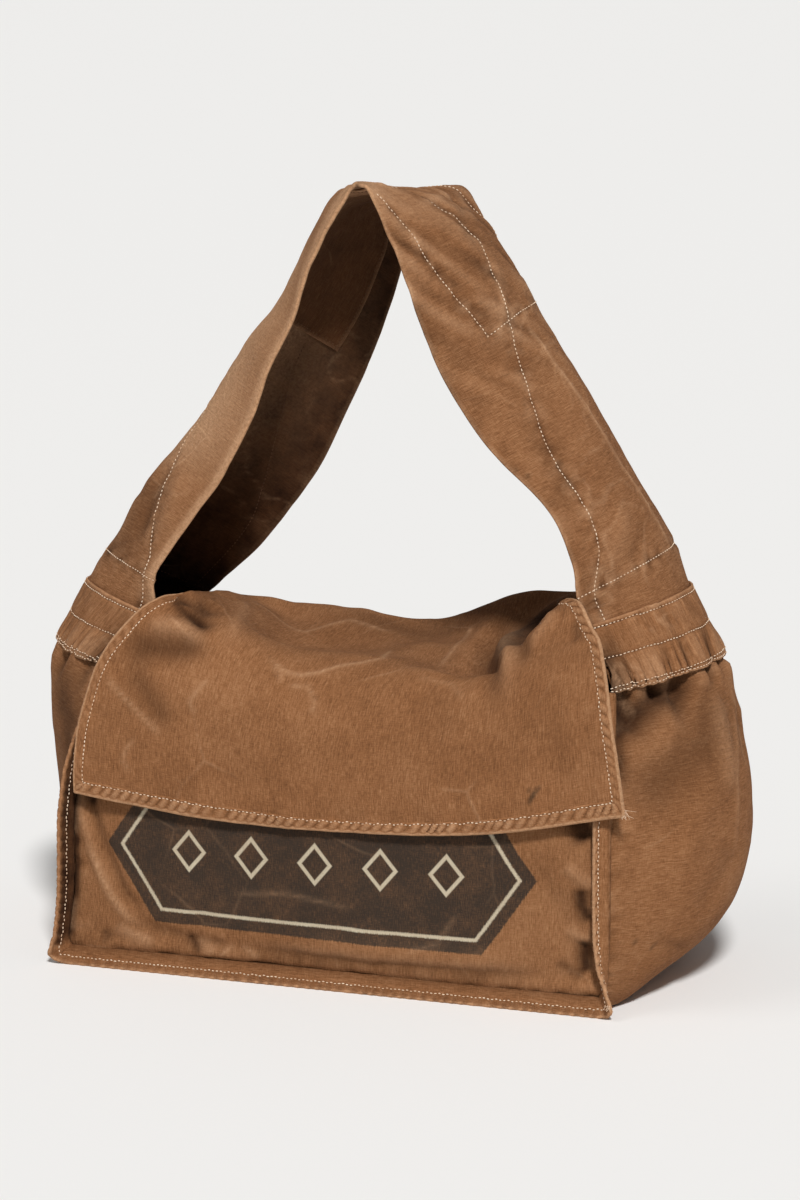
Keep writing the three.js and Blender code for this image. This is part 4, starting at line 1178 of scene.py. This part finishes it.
# Front panel with the faded print
frontPanel = {
    "across": 150, "rows": 84,
    "crumple": {"waves": [(0.11, 0.0022), (0.045, 0.0008), (0.013, 0.0002)],
                "ridges": (0.05, 0.00045), "ridgeWear": 0.05},
    "pucker": {"pitch": 0.009, "height": 0.0009, "reach": 0.01},
    # lines in row and share, width, height, wear and grime; the grime in the hollows is painted
    # shade
    "folds": [
        ([(6.0, 0.0), (5.0, 0.012), (4.1, 0.035), (3.0, 0.068), (2.1, 0.11), (1.6, 0.16)],
          0.0032, 0.0024, 0.3, 0),
        ([(5.9, 0.025), (5.3, 0.03), (4.6, 0.05), (3.9, 0.075), (3.0, 0.103), (2.3, 0.15)],
          0.0045, -0.0035, 0, 0.4),
        ([(6.4, 0.015), (5.8, 0.028), (5.1, 0.03)], 0.006, -0.003, 0, 1.1),
        ([(2.2, 0.12), (1.7, 0.17), (1.3, 0.24), (1.0, 0.32)], 0.006, -0.003, 0, 0.3),
        ([(1.6, 0.08), (1.2, 0.12), (0.7, 0.17)], 0.005, 0.0025, 0.25, 0),
        ([(1.3, 0.06), (0.9, 0.075), (0.5, 0.06)], 0.0035, -0.002, 0, 0.5),
        ([(1.5, 0.225), (0.9, 0.24), (0.4, 0.255)], 0.0035, -0.0022, 0, 0.6),
        ([(1.5, 0.25), (0.9, 0.265), (0.5, 0.28)], 0.004, 0.002, 0.3, 0),
        ([(1.0, 0.3), (0.95, 0.5), (1.0, 0.72), (1.2, 0.93)], 0.008, -0.0012, 0, 0.4),
        ([(1.5, 0.35), (1.4, 0.6), (1.6, 0.9)], 0.004, 0.0012, 0.2, 0),
        ([(1.9, 0.4), (1.8, 0.6), (2.0, 0.85)], 0.01, 0.0025, 0.05, 0),
        ([(5.1, 0.85), (4.25, 0.9), (3.25, 0.95), (1.4, 0.975)], 0.012, -0.0035, 0, 0.12),
        ([(4.7, 0.259), (3.74, 0.266), (2.39, 0.251), (0.9, 0.235)], 0.008, -0.0018, 0, 0.05),
        ([(3.0, 0.55), (2.0, 0.57), (1.2, 0.6)], 0.014, 0.0018, 0, 0),
        ([(6.3, 0.92), (5.8, 0.95), (5.3, 0.97)], 0.009, -0.006, 0, 1.3),
        ([(4.9, 0.93), (4.6, 0.955), (4.4, 0.985)], 0.005, 0.003, 0.3, 0),
        ([(4.4, 0.955), (3.9, 0.958), (3.4, 0.975)], 0.006, -0.004, 0, 1.1),
        ([(3.3, 0.93), (3.0, 0.955), (2.9, 0.98)], 0.004, 0.003, 0.3, 0),
        ([(3.0, 0.965), (2.2, 0.962), (1.3, 0.97)], 0.006, -0.004, 0, 1.0),
        ([(2.0, 0.91), (1.5, 0.94), (1.1, 0.965)], 0.005, -0.002, 0, 0.5),
    ],
    # lines in row and share, and wear
    "creases": [
        ([(3.4, 0.3), (3.6, 0.42), (3.3, 0.56)], 0.3),
        ([(1.6, 0.62), (2.4, 0.7), (3.6, 0.74)], 0.25),
        ([(4.4, 0.03), (3.5, 0.055), (2.6, 0.09), (1.9, 0.13)], 0.5),
        ([(2.0, 0.09), (1.4, 0.12), (0.9, 0.17)], 0.4),
        ([(0.4, 0.29), (0.7, 0.3), (1.2, 0.32)], 0.5),
        ([(1.3, 0.33), (0.9, 0.35), (0.5, 0.37)], 0.5),
    ],
    # painted shade in the hollows beside the right seam: row, spread in rows, strength
    "seamShades": [(5.5, 0.6, 1.3), (2.8, 1.1, 1.2)],
    # middle row, spread in rows and height of the swell above the base
    "swell": (0.55, 0.35, 0.003),
}


def frontSurface(rows, shares):
    return rowsGrid(frontRows, rows, shares)


def makeFrontPanel():
    settings = frontPanel
    rows = evenRows(frontSurface, 0, len(frontRows) - 1, settings["rows"])
    cloth = layCloth(frontSurface, rows, np.linspace(0, 1, settings["across"]))
    addCrumple(cloth, settings["crumple"], 111)
    puckerEdges(cloth, ("left", "right", "first"), settings["pucker"], 115)
    addFolds(cloth, settings["folds"], 0.2)
    for places, wearAndHighlight in settings["creases"]:
        addFold(cloth, places, 0.0015, 0.0005, wearAndHighlight=wearAndHighlight, sharp=True)
    row, spread, height = settings["swell"]
    cloth["lift"] += height * near(rows - row, spread)[:, None]
    # painted shade along the left seam
    cloth["grimeAndShade"] += 1.2 * smooth(0.2, 1.2, rows)[:, None] * near(cloth["leftGap"], 0.0045)
    for row, spread, strength in settings["seamShades"]:
        here = near(rows - row, spread)[:, None]
        cloth["grimeAndShade"] += strength * here * near(cloth["rightGap"], 0.006)
        cloth["lift"] -= 0.003 * here * near(cloth["rightGap"] - 0.006, 0.007)
    return shape(cloth)


frontPiece = buildCloth("front_panel_canvas", makeFrontPanel(), bag["canvas"], "front_panel",
                        frontCanvas)


# Back panel and flap
flap = {
    "across": 168, "rows": 236, "firstFlapRow": 9.6,
    "crumple": {"waves": [(0.1, 0.0022), (0.04, 0.0009), (0.013, 0.0002)],
                "ridges": (0.045, 0.0005), "ridgeWear": 0.05},
    "pucker": {"pitch": 0.009, "height": 0.001, "reach": 0.012},
    "hemPull": {"pitch": 0.009, "length": 0.02, "reach": 0.01, "height": 0.0006},
    # the CAD's folds: across and along the cloth, where they end, their width, their depth
    "cadFolds": [
        (0.76, 0.56, 0.745, 0.76, 0.13, 0.1), (0.86, 0.55, 0.79, 0.63, 0.1, -0.07),
        (0.1, 0.52, 0.2, 0.62, 0.12, 0.08), (0.3, 0.6, 0.62, 0.57, 0.1, 0.05),
        (0.28, 0.52, 0.6, 0.62, 0.09, -0.045),
    ],
    "foldStretch": 1.4,
    # lines in row and share, width, height, wear and grime; the grime in the hollows and along the
    # top rim is painted shade
    "folds": [
        ([(10.6, 0.66), (11.5, 0.7), (13.5, 0.76), (15.7, 0.79), (16.6, 0.79), (17.4, 0.8)],
          0.009, -0.009, 0, 0.5),
        ([(11.0, 0.73), (13.9, 0.83), (16.3, 0.825), (17.3, 0.83)], 0.008, 0.005, 0.35, 0),
        ([(11.0, 0.85), (12.2, 0.86), (14.2, 0.885), (15.1, 0.9)], 0.014, -0.014, 0, 1.0),
        ([(13.2, 0.84), (14.6, 0.85), (15.75, 0.858), (16.4, 0.872)], 0.008, -0.006, 0, 0.5),
        ([(10.6, 0.84), (11.6, 0.82), (12.3, 0.805), (13.4, 0.82), (14.9, 0.838)],
          0.016, -0.004, 0, 0.9),
        ([(10.8, 0.2), (10.9, 0.45), (10.9, 0.7)], 0.022, 0, 0, 0.35),
        ([(10.1, 0.12), (10.1, 0.22), (10.1, 0.36)], 0.03, -0.0035, 0, 0),
        ([(14.0, 0.03), (14.84, 0.025), (15.04, 0.055), (15.07, 0.09), (14.6, 0.1)],
          0.008, -0.006, 0, 0.8),
        ([(14.4, 0.955), (15.1, 0.93), (15.4, 0.895), (15.7, 0.865)], 0.006, 0.004, 0.25, 0),
        ([(15.4, 0.972), (15.95, 0.97), (16.4, 0.96)], 0.005, -0.0025, 0, 0.45),
        ([(13.4, 0.05), (14.6, 0.075), (15.1, 0.115), (15.4, 0.15)], 0.011, -0.008, 0, 0.65),
        ([(11.8, 0.05), (13.0, 0.1), (14.5, 0.155), (15.5, 0.18), (15.9, 0.17)],
          0.006, 0.0028, 0.25, 0),
        ([(16.1, 0.03), (15.92, 0.055), (15.64, 0.095), (15.73, 0.136), (15.95, 0.16)],
          0.006, 0.005, 0.4, 0),
        ([(16.8, 0.01), (16.55, 0.06), (16.3, 0.11), (16.0, 0.145), (15.85, 0.18)],
          0.009, -0.0065, 0, 0.65),
        ([(16.9, 0.04), (17.2, 0.09), (17.55, 0.14), (17.9, 0.18)], 0.011, -0.004, 0, 0.4),
        ([(15.6, 0.62), (16.4, 0.66), (17.6, 0.7)], 0.016, -0.003, 0, 0.08),
        ([(15.9, 0.35), (17.2, 0.33), (18.6, 0.34)], 0.022, 0.003, 0, 0),
        ([(17.4, 0.88), (18.4, 0.9), (19.4, 0.92)], 0.012, -0.0022, 0, 0.08),
        ([(11.2, 0.6), (12.2, 0.62), (13.6, 0.63), (14.8, 0.61)], 0.014, -0.004, 0, 0.12),
    ],
    # lines in row and share, and wear
    "creases": [
        ([(15.0, 0.25), (15.44, 0.3), (15.63, 0.33), (15.61, 0.36), (15.28, 0.395), (14.8, 0.43),
          (14.48, 0.485), (14.09, 0.525), (12.3, 0.475)], 0.8),
        ([(11.9, 0.045), (11.47, 0.09), (11.51, 0.147), (11.62, 0.2), (11.21, 0.243), (10.93, 0.29),
          (11.08, 0.35), (11.24, 0.43)], 0.6),
        ([(13.6, 0.66), (12.7, 0.653), (11.86, 0.637), (10.9, 0.606)], 0.6),
        ([(16.6, 0.21), (16.97, 0.205), (17.23, 0.2), (17.45, 0.22)], 0.5),
        ([(17.2, 0.02), (17.45, 0.07), (17.74, 0.126), (17.96, 0.165)], 0.6),
        ([(18.1, 0.115), (18.41, 0.097), (18.65, 0.093), (18.95, 0.11)], 0.4),
        ([(16.1, 0.35), (15.96, 0.394), (16.39, 0.425), (16.9, 0.437)], 0.5),
        ([(15.5, 0.3), (15.9, 0.33), (16.1, 0.34)], 0.4),
        ([(15.3, 0.62), (15.8, 0.7), (16.6, 0.74)], 0.3),
    ],
    "spots": [
        ([(18.78, 0.862), (18.95, 0.85), (19.08, 0.843)], 0.0028, 0.85),
        ([(18.8, 0.846), (18.92, 0.852)], 0.0022, 0.7),
    ],
}


def addCadFolds(cloth):
    u, v = cloth["shares"][None, :], cloth["rows"][:, None] / (len(flapRows) - 1)
    # weaker along the left half of the top outline, which is nearly straight
    kept = 1 - 0.85 * smooth(0.56, 0.5, v) * smooth(0.52, 0.45, u)
    for across, low, toAcross, high, width, depth in flap["cadFolds"]:
        du, dv = toAcross - across, high - low
        share = np.clip(((u - across) * du + (v - low) * dv) / (du * du + dv * dv), 0, 1)
        away = np.hypot(u - across - share * du, (v - low - share * dv) * flap["foldStretch"])
        cloth["lift"] -= kept * depth * halfDepth * near(away, width / 2)


def flapSurface(rows, shares):
    return rowsGrid(flapRows, rows, shares)


def makeFlap():
    rows = evenRows(flapSurface, 0, len(flapRows) - 1, flap["rows"])
    cloth = layCloth(flapSurface, rows, np.linspace(0, 1, flap["across"]), flip=True)
    addCrumple(cloth, flap["crumple"], 131)
    addCadFolds(cloth)
    addFolds(cloth, flap["folds"], 0.3)
    for places, wearAndHighlight in flap["creases"]:
        addFold(cloth, places, 0.0014, 0.0009, wearAndHighlight=wearAndHighlight, sharp=True, fade=0.15)
    # the back is sewn in along its edges, the flap is free
    free = smooth(flap["firstFlapRow"], flap["firstFlapRow"] + 0.5, rows)[:, None]
    saved = {key: cloth[key].copy() for key in ("lift", "wearAndHighlight", "grimeAndShade")}
    puckerEdges(cloth, ("left", "right", "first"), flap["pucker"], 147)
    for key, before in saved.items():
        cloth[key] = mix(cloth[key], before, free)
    bottomGap = cloth["y"][-1:] - cloth["y"]
    sideGap = np.minimum(cloth["leftGap"], cloth["rightGap"])
    hemGap = np.minimum(sideGap, bottomGap)
    run = np.where(bottomGap < sideGap, cloth["x"], cloth["y"])
    tug = flap["hemPull"]
    pull = noise(run / tug["pitch"], hemGap / tug["length"], 150)
    beyond = np.exp(-np.clip(hemGap - hem["width"], 0, None) / tug["reach"]) * free
    cloth["lift"] += tug["height"] * pull * beyond
    paint(cloth, pull, beyond, 0, 0.3)
    addSpots(cloth, flap["spots"], 0.35)
    return shape(cloth)


# The flap's hem, folded round its three free edges with a mitre at each corner
hem = {
    "firstRow": 10.0, "width": 0.0108, "sideWidth": 0.009, "thickness": 0.0034,
    "step": 0.0014, "across": 13, "pitch": 0.009, "rope": 0.0012, "slant": 0.8, "stitch": 0.86,
    "leftEnd": (14.2, 15.2),    # rows between which it narrows up its left edge
    "sideRope": (0.3, 0.5),     # how strong the roping is on the left and the right edge
}


def makeHem():
    gap, first = hem["sideWidth"], hem["firstRow"]
    sides = [edgeLine(flapCloth, edge, gap, first) for edge in ("left", "right")]
    length = flapCloth["y"][:, 0]
    innerRow = np.interp(length[-1] - hem["width"], length, flapCloth["rows"])
    lastRow, count = flapCloth["rows"][-1], 300
    down = np.linspace(first, lastRow, count)
    leftDown = down[down > hem["leftEnd"][0]]
    path = np.concatenate([
        np.stack([leftDown, leftDown * 0], 1),
        np.stack([np.full(count, lastRow), np.linspace(0, 1, count)], 1)[1:],
        np.stack([down[::-1], np.ones(count)], 1)[1:],
    ])
    places = readAt(flapCloth, flapCloth["final"], path)
    run = np.concatenate([[0], np.cumsum(np.linalg.norm(np.diff(places, axis=0), axis=1))])
    even = np.linspace(0, run[-1], int(run[-1] / hem["step"]))
    outer = np.stack([np.interp(even, run, path[:, k]) for k in (0, 1)], 1)
    ending = np.where(outer[:, 1] > 0, 1, smooth(*hem["leftEnd"], outer[:, 0]))
    left, right = (np.interp(outer[:, 0], *line.T) for line in sides)
    inside = np.clip(outer[:, 1], left * np.maximum(ending, 0.1), right)
    inner = np.stack([np.minimum(outer[:, 0], innerRow), inside], 1)

    def surface(rows, shares):
        grid = mix(outer[:, None], inner[:, None], np.asarray(shares)[None, :, None])
        return pointsOn(flapCloth, grid.reshape(-1, 2), 0.0).reshape(len(outer), len(shares), 3)

    shares = np.linspace(0, 1, hem["across"])
    cloth = layCloth(surface, even, shares, flip=True)
    cloth["y"] = np.broadcast_to(even[:, None], cloth["x"].shape)
    across = np.broadcast_to(shares[None, :], cloth["x"].shape)
    wave = rope(even[:, None] - hem["slant"] * across * hem["width"], hem["pitch"], 151)
    low = smooth(lastRow - 0.45, lastRow, outer[:, 0])
    strength = mix(mix(*hem["sideRope"], outer[:, 1]), 1, low) * ending
    profile = smooth(0.1, 0.35, across) * smooth(0.95, 0.7, across) * strength[:, None]
    cloth["lift"] += hem["rope"] * wave * profile
    # the twists' hollows get painted shade; their crests and the folded edge are rubbed light,
    # partly as painted highlight
    cloth["grimeAndShade"] += 0.6 * smooth(-0.1, -0.8, wave) * profile
    cloth["wearAndHighlight"] += 0.7 * smooth(0.1, 0.9, wave) * profile + 0.9 * smooth(0.2, 0.06, across)
    line = near(across - hem["stitch"], 0.07)
    cloth["lift"] -= 0.0006 * line
    cloth["grimeAndShade"] += 0.2 * line
    return shape(cloth)


flapCloth = makeFlap()
flapPiece = buildCloth("back_panel_flap_canvas", flapCloth, bag["canvas"], "back_panel_flap",
                       bodyCanvas, roundness=0.45)
hemCloth = makeHem()
hemPiece = buildCloth("flap_hem_canvas", hemCloth, hem["thickness"], None,
                      edgeCanvas, roundness=0.3)


# Seam allowances: a folded strip that stands out of the front and the back seam
seam = {
    "across": 11, "rows": 760, "tuck": 0.12, "pressed": 0.0006,
    # share of the width at which each row of stitches lies, from the left side's top on
    "stitch": ([0, 8.5, 9.5, 15.5, 16.5, 25], [0.5, 0.5, 0.6, 0.6, 0.7, 0.7]),
    "secondStitch": ([9.2, 15.8], [0.42, 0.42]),
    # how much of its width is left, from the left side's top to the right side's
    "width": ([0, 2.0, 3.3, 15.9, 17.0, 25], [0.15, 0.2, 1, 1, 0.8, 0.8]),
    "pitch": 0.0088, "rope": 0.001, "slant": 0.7, "leftShade": 1.4,
}


def flangeSurface(edge, leftLean, rightLean, facing):
    path = ring[edge][:rightTop + 1]
    last = len(path) - 1
    angle = np.radians(leftLean[::-1] + [leftLean[0]] * 4 + rightLean)
    rows = np.arange(last + 1.0)
    tangent = along(path, np.minimum(rows + 0.05, last)) - along(path, np.maximum(rows - 0.05, 0))
    forward = np.array([0, facing, 0.0])
    outward = unit(np.cross(tangent, forward))
    away = ((path - [0, 0, bag["gussetHeight"] / 2]) * outward).sum(1)
    outward *= np.where(away < 0, -1, 1)[:, None]
    corner = np.minimum(np.minimum(abs(rows - rightCorner), abs(rows - leftCorner)), 1)
    width = bag["seamReach"] * mix(bag["cornerReach"], 1, corner)
    if facing < 0:
        width = width * np.interp(rows, *seam["width"])
    reach = (forward * np.cos(angle)[:, None] + outward * np.sin(angle)[:, None]) * width[:, None]
    over = np.maximum(-np.sin(angle), 0) * bag["canvas"] / 2
    push = facing * (bag["seamCloth"] / 2 + bag["clearance"] + over)
    tilt = np.where(corner < 1, 1, np.cos(angle)) * bag["seamCloth"] / 2

    def surface(index, share):
        index = np.asarray(index, float)
        point = along(path, index)
        point[:, 1] += np.interp(index, rows, push)
        arm = np.stack([np.interp(index, rows, reach[:, k]) for k in range(3)], 1)
        grid = point[:, None] + arm[:, None] * np.asarray(share)[None, :, None]
        grid[..., 2] = np.maximum(grid[..., 2], np.interp(index, rows, tilt)[:, None])
        return grid

    return surface


def makeFlange(edge, leftLean, rightLean, facing, seed):
    surface = flangeSurface(edge, leftLean, rightLean, facing)
    rows = evenRows(lambda index, share: surface(index, [0, 0.5, 1]), 0, rightTop, seam["rows"])
    shares = np.concatenate([[-seam["tuck"]], np.linspace(0, 1, seam["across"])])
    cloth = layCloth(surface, rows, shares, flip=facing < 0)
    across = np.broadcast_to(cloth["shares"][None, :], cloth["x"].shape)
    wave = rope(cloth["y"] + seam["slant"] * across * bag["seamReach"], seam["pitch"], seed + 2)
    row = rows[:, None]
    stitchShare = np.interp(row, *seam["stitch"])
    swell = smooth(stitchShare, stitchShare + 0.12, across) * smooth(1.05, 0.9, across)
    cloth["lift"] += seam["rope"] * wave * swell
    paint(cloth, wave, swell, 0.45, 0.6)
    cloth["wearAndHighlight"] += 0.8 * smooth(0.88, 0.98, across)
    line = near(across - stitchShare, 0.09)
    cloth["lift"] -= 0.0005 * line
    # painted shade at its root, and along the base on its inner half
    cloth["grimeAndShade"] += 0.2 * line + 0.3 * smooth(0.1, -0.1, across)
    cloth["grimeAndShade"] += 0.35 * smooth(0.5, 0.1, across) * smooth(9, 9.5, row) * smooth(16, 15.5, row)
    if facing < 0:    # painted shade: the left seam lies deep between the panel and the gusset
        cloth["grimeAndShade"] += seam["leftShade"] * smooth(9.0, 8.0, row) * smooth(1.0, 0.7, across)
        cloth["wearAndHighlight"] *= 1 - 0.6 * smooth(8.7, 7.4, row)
    return shape(cloth)


seamThick = bag["seamCloth"] - seam["pressed"]
flangeCloths = {}
for name, leftLean, rightLean, facing, seed in (
    ("front", leftFrontLean, rightFrontLean, -1, 161), ("back", backLean, backLean, 1, 171),
):
    flangeCloths[name] = makeFlange(name, leftLean, rightLean, facing, seed)
    buildCloth(name + "_seam_canvas", flangeCloths[name], seamThick, name + "_seam",
               edgeCanvas, roundness=0.55)
print("cloth pieces made")


# Stitch lines lie on the outer face of a cloth, or with side -1 on its inner face
def onCloth(cloth, places, thick, side=1, extra=0.00015, count=260):
    places = np.asarray(places, float)
    if len(places) < 60:
        places = along(places, np.linspace(0, len(places) - 1, count))
        places[:, 1] = np.clip(places[:, 1], 0, 1)
    return pointsOn(cloth, places, side * (thick / 2 + extra))


def sewStrap():
    def rowsOf(keys, side):
        return [onCloth(strapCloth, strapDetail[key], bag["strapCloth"], side) for key in keys]

    outside = ("seam", "rightCross", "leftCross", "patchLong", "patchCross", "backSeam")
    outer = sew("strap_stitches", rowsOf(outside, 1), thread)
    lines = rowsOf(("seam", "backSeam", "rightCross", "leftCross"), -1)
    lines += [onCloth(patchCloth, edgeLine(patchCloth, edge, 0.003), bag["canvas"], -1)
              for edge in ("left", "right", "first", "last")]
    # the inner stitches take the darker thread, as painted shade
    return [outer, sew("strap_inner_stitches", lines, darkened)]


def sewBands():
    out = bandOffset + bag["canvas"] / 2 + 0.00035
    for name, cloth in bandCloths.items():
        height = np.ptp(cloth["y"][:, 0])
        shares = [line if name == "right" else 1 - line for line in band["lines"]]
        lines = [onCloth(cloth, edgeLine(cloth, "first", share * height), 0, 1, out)
                 for share in shares]
        sew("strap_band_stitches_" + name, lines, thread)


def sewFlap():
    count, margin = 1200, 0.002
    run = np.linspace(margin, hemCloth["rows"][-1] - margin, count)
    places = np.stack([run, np.full(count, hem["stitch"])], 1)
    lines = [onCloth(hemCloth, places, hem["thickness"])]
    return sew("flap_hem_stitches", lines, thread)


def sewSeams():
    for name, cloth in flangeCloths.items():
        rows = np.linspace(0.05, rightTop - 0.05, 900)
        places = np.stack([rows, np.interp(rows, *seam["stitch"])], 1)
        lines = [onCloth(cloth, places, seamThick, side) for side in (1, -1)]
        rows = np.linspace(*seam["secondStitch"][0], 500)
        places = np.stack([rows, np.interp(rows, *seam["secondStitch"])], 1)
        lines.append(onCloth(cloth, places, seamThick))
        sew(name + "_seam_stitches", lines, thread)


strapStitches = sewStrap()
sewBands()
flapStitches = sewFlap()
sewSeams()


# Frayed ends at the flap's right corner and the front seam's lower right corner
def frayedEnds():
    chance = np.random.RandomState(5)
    corner = flapCloth["final"][-1, -1] + np.array([0.0005, -0.0005, 0])
    foot = flangeCloths["front"]["final"]
    row = int(np.interp(rightCorner, flangeCloths["front"]["rows"], np.arange(len(foot))))
    paths = []
    for start, lean, count, length in (
        (corner + np.array([-0.001, 0, 0.004]), np.array([0.9, -0.3, -0.25]), 7, 0.008),
        (corner + np.array([-0.002, 0, 0.002]), np.array([0.5, -0.3, -0.8]), 8, 0.006),
        (foot[row, -1] + np.array([-0.001, -0.001, 0.006]), np.array([0.1, -0.9, -0.2]), 12, 0.006),
    ):
        for k in range(count):
            direction = unit(lean + chance.uniform(-0.45, 0.45, 3))
            bend = chance.uniform(-0.5, 0.5, 3)
            t = np.linspace(0, 1, 7)[:, None]
            size = length * chance.uniform(0.5, 1.1)
            root = start + chance.uniform(-0.0012, 0.0012, 3)
            path = root + size * (t * direction + t ** 2 * bend * 0.6)
            path[:, 2] = np.maximum(path[:, 2], 0.0004)
            paths.append(path)
    makeThreads("frayed_threads", paths, 0.00022, thread)


frayedEnds()
print("stitches made")


# Camera at the photo's angle
camera = {
    "azimuth": 19, "elevation": 12.5, "distance": 3.8, "lens": 142.31,
    "target": (0.01849, -0.00016, 0.29214),
}


def makeCamera():
    data = bpy.data.cameras.new("camera")
    data.lens = camera["lens"]
    data.sensor_fit = "VERTICAL"
    data.sensor_height = 36
    data.clip_end = 100
    eye = bpy.data.objects.new("camera", data)
    bpy.context.scene.collection.objects.link(eye)
    turn, rise = math.radians(camera["azimuth"]), math.radians(camera["elevation"])
    level = math.cos(rise)
    back = Vector((math.sin(turn) * level, -math.cos(turn) * level, math.sin(rise)))
    eye.location = Vector(camera["target"]) + back * camera["distance"]
    eye.rotation_euler = back.to_track_quat("Z", "Y").to_euler()
    bpy.context.scene.camera = eye


light = {
    "sky": 0.2,
    "suns": [
        # direction it comes from, strength, softness in degrees
        ((0.3, -0.62, 0.74), 3.15, 9),
        ((-0.5, -0.35, 0.9), 0.3, 20),
    ],
    "floor": (240, 239, 237),
    "floorReach": 40,
}


def makeStage():
    bpy.context.scene.view_settings.view_transform = "Standard"
    world = bpy.data.worlds.new("studio")
    bpy.context.scene.world = world
    world.use_nodes = True
    sky = world.node_tree.nodes["Background"].inputs
    sky[0].default_value = (1, 1, 1, 1)
    sky[1].default_value = light["sky"]
    for number, (source, strength, softness) in enumerate(light["suns"]):
        data = bpy.data.lights.new(f"sun_{number}", "SUN")
        data.energy = strength
        data.angle = math.radians(softness)
        lamp = bpy.data.objects.new(f"sun_{number}", data)
        bpy.context.scene.collection.objects.link(lamp)
        lamp.rotation_euler = Vector(source).to_track_quat("Z", "Y").to_euler()
    mesh = bpy.data.meshes.new("floor")
    reach = light["floorReach"]
    corners = [(x * reach, y * reach, 0) for x, y in ((-1, -1), (1, -1), (1, 1), (-1, 1))]
    mesh.from_pydata(corners, [], [(0, 1, 2, 3)])
    floor = bpy.data.objects.new("floor", mesh)
    bpy.context.scene.collection.objects.link(floor)
    material = bpy.data.materials.new("floor")
    material.use_nodes = True
    shader = material.node_tree.nodes["Principled BSDF"]
    shader.inputs["Base Color"].default_value = linear(light["floor"])
    shader.inputs["Roughness"].default_value = 0.9
    mesh.materials.append(material)


makeCamera()
makeStage()
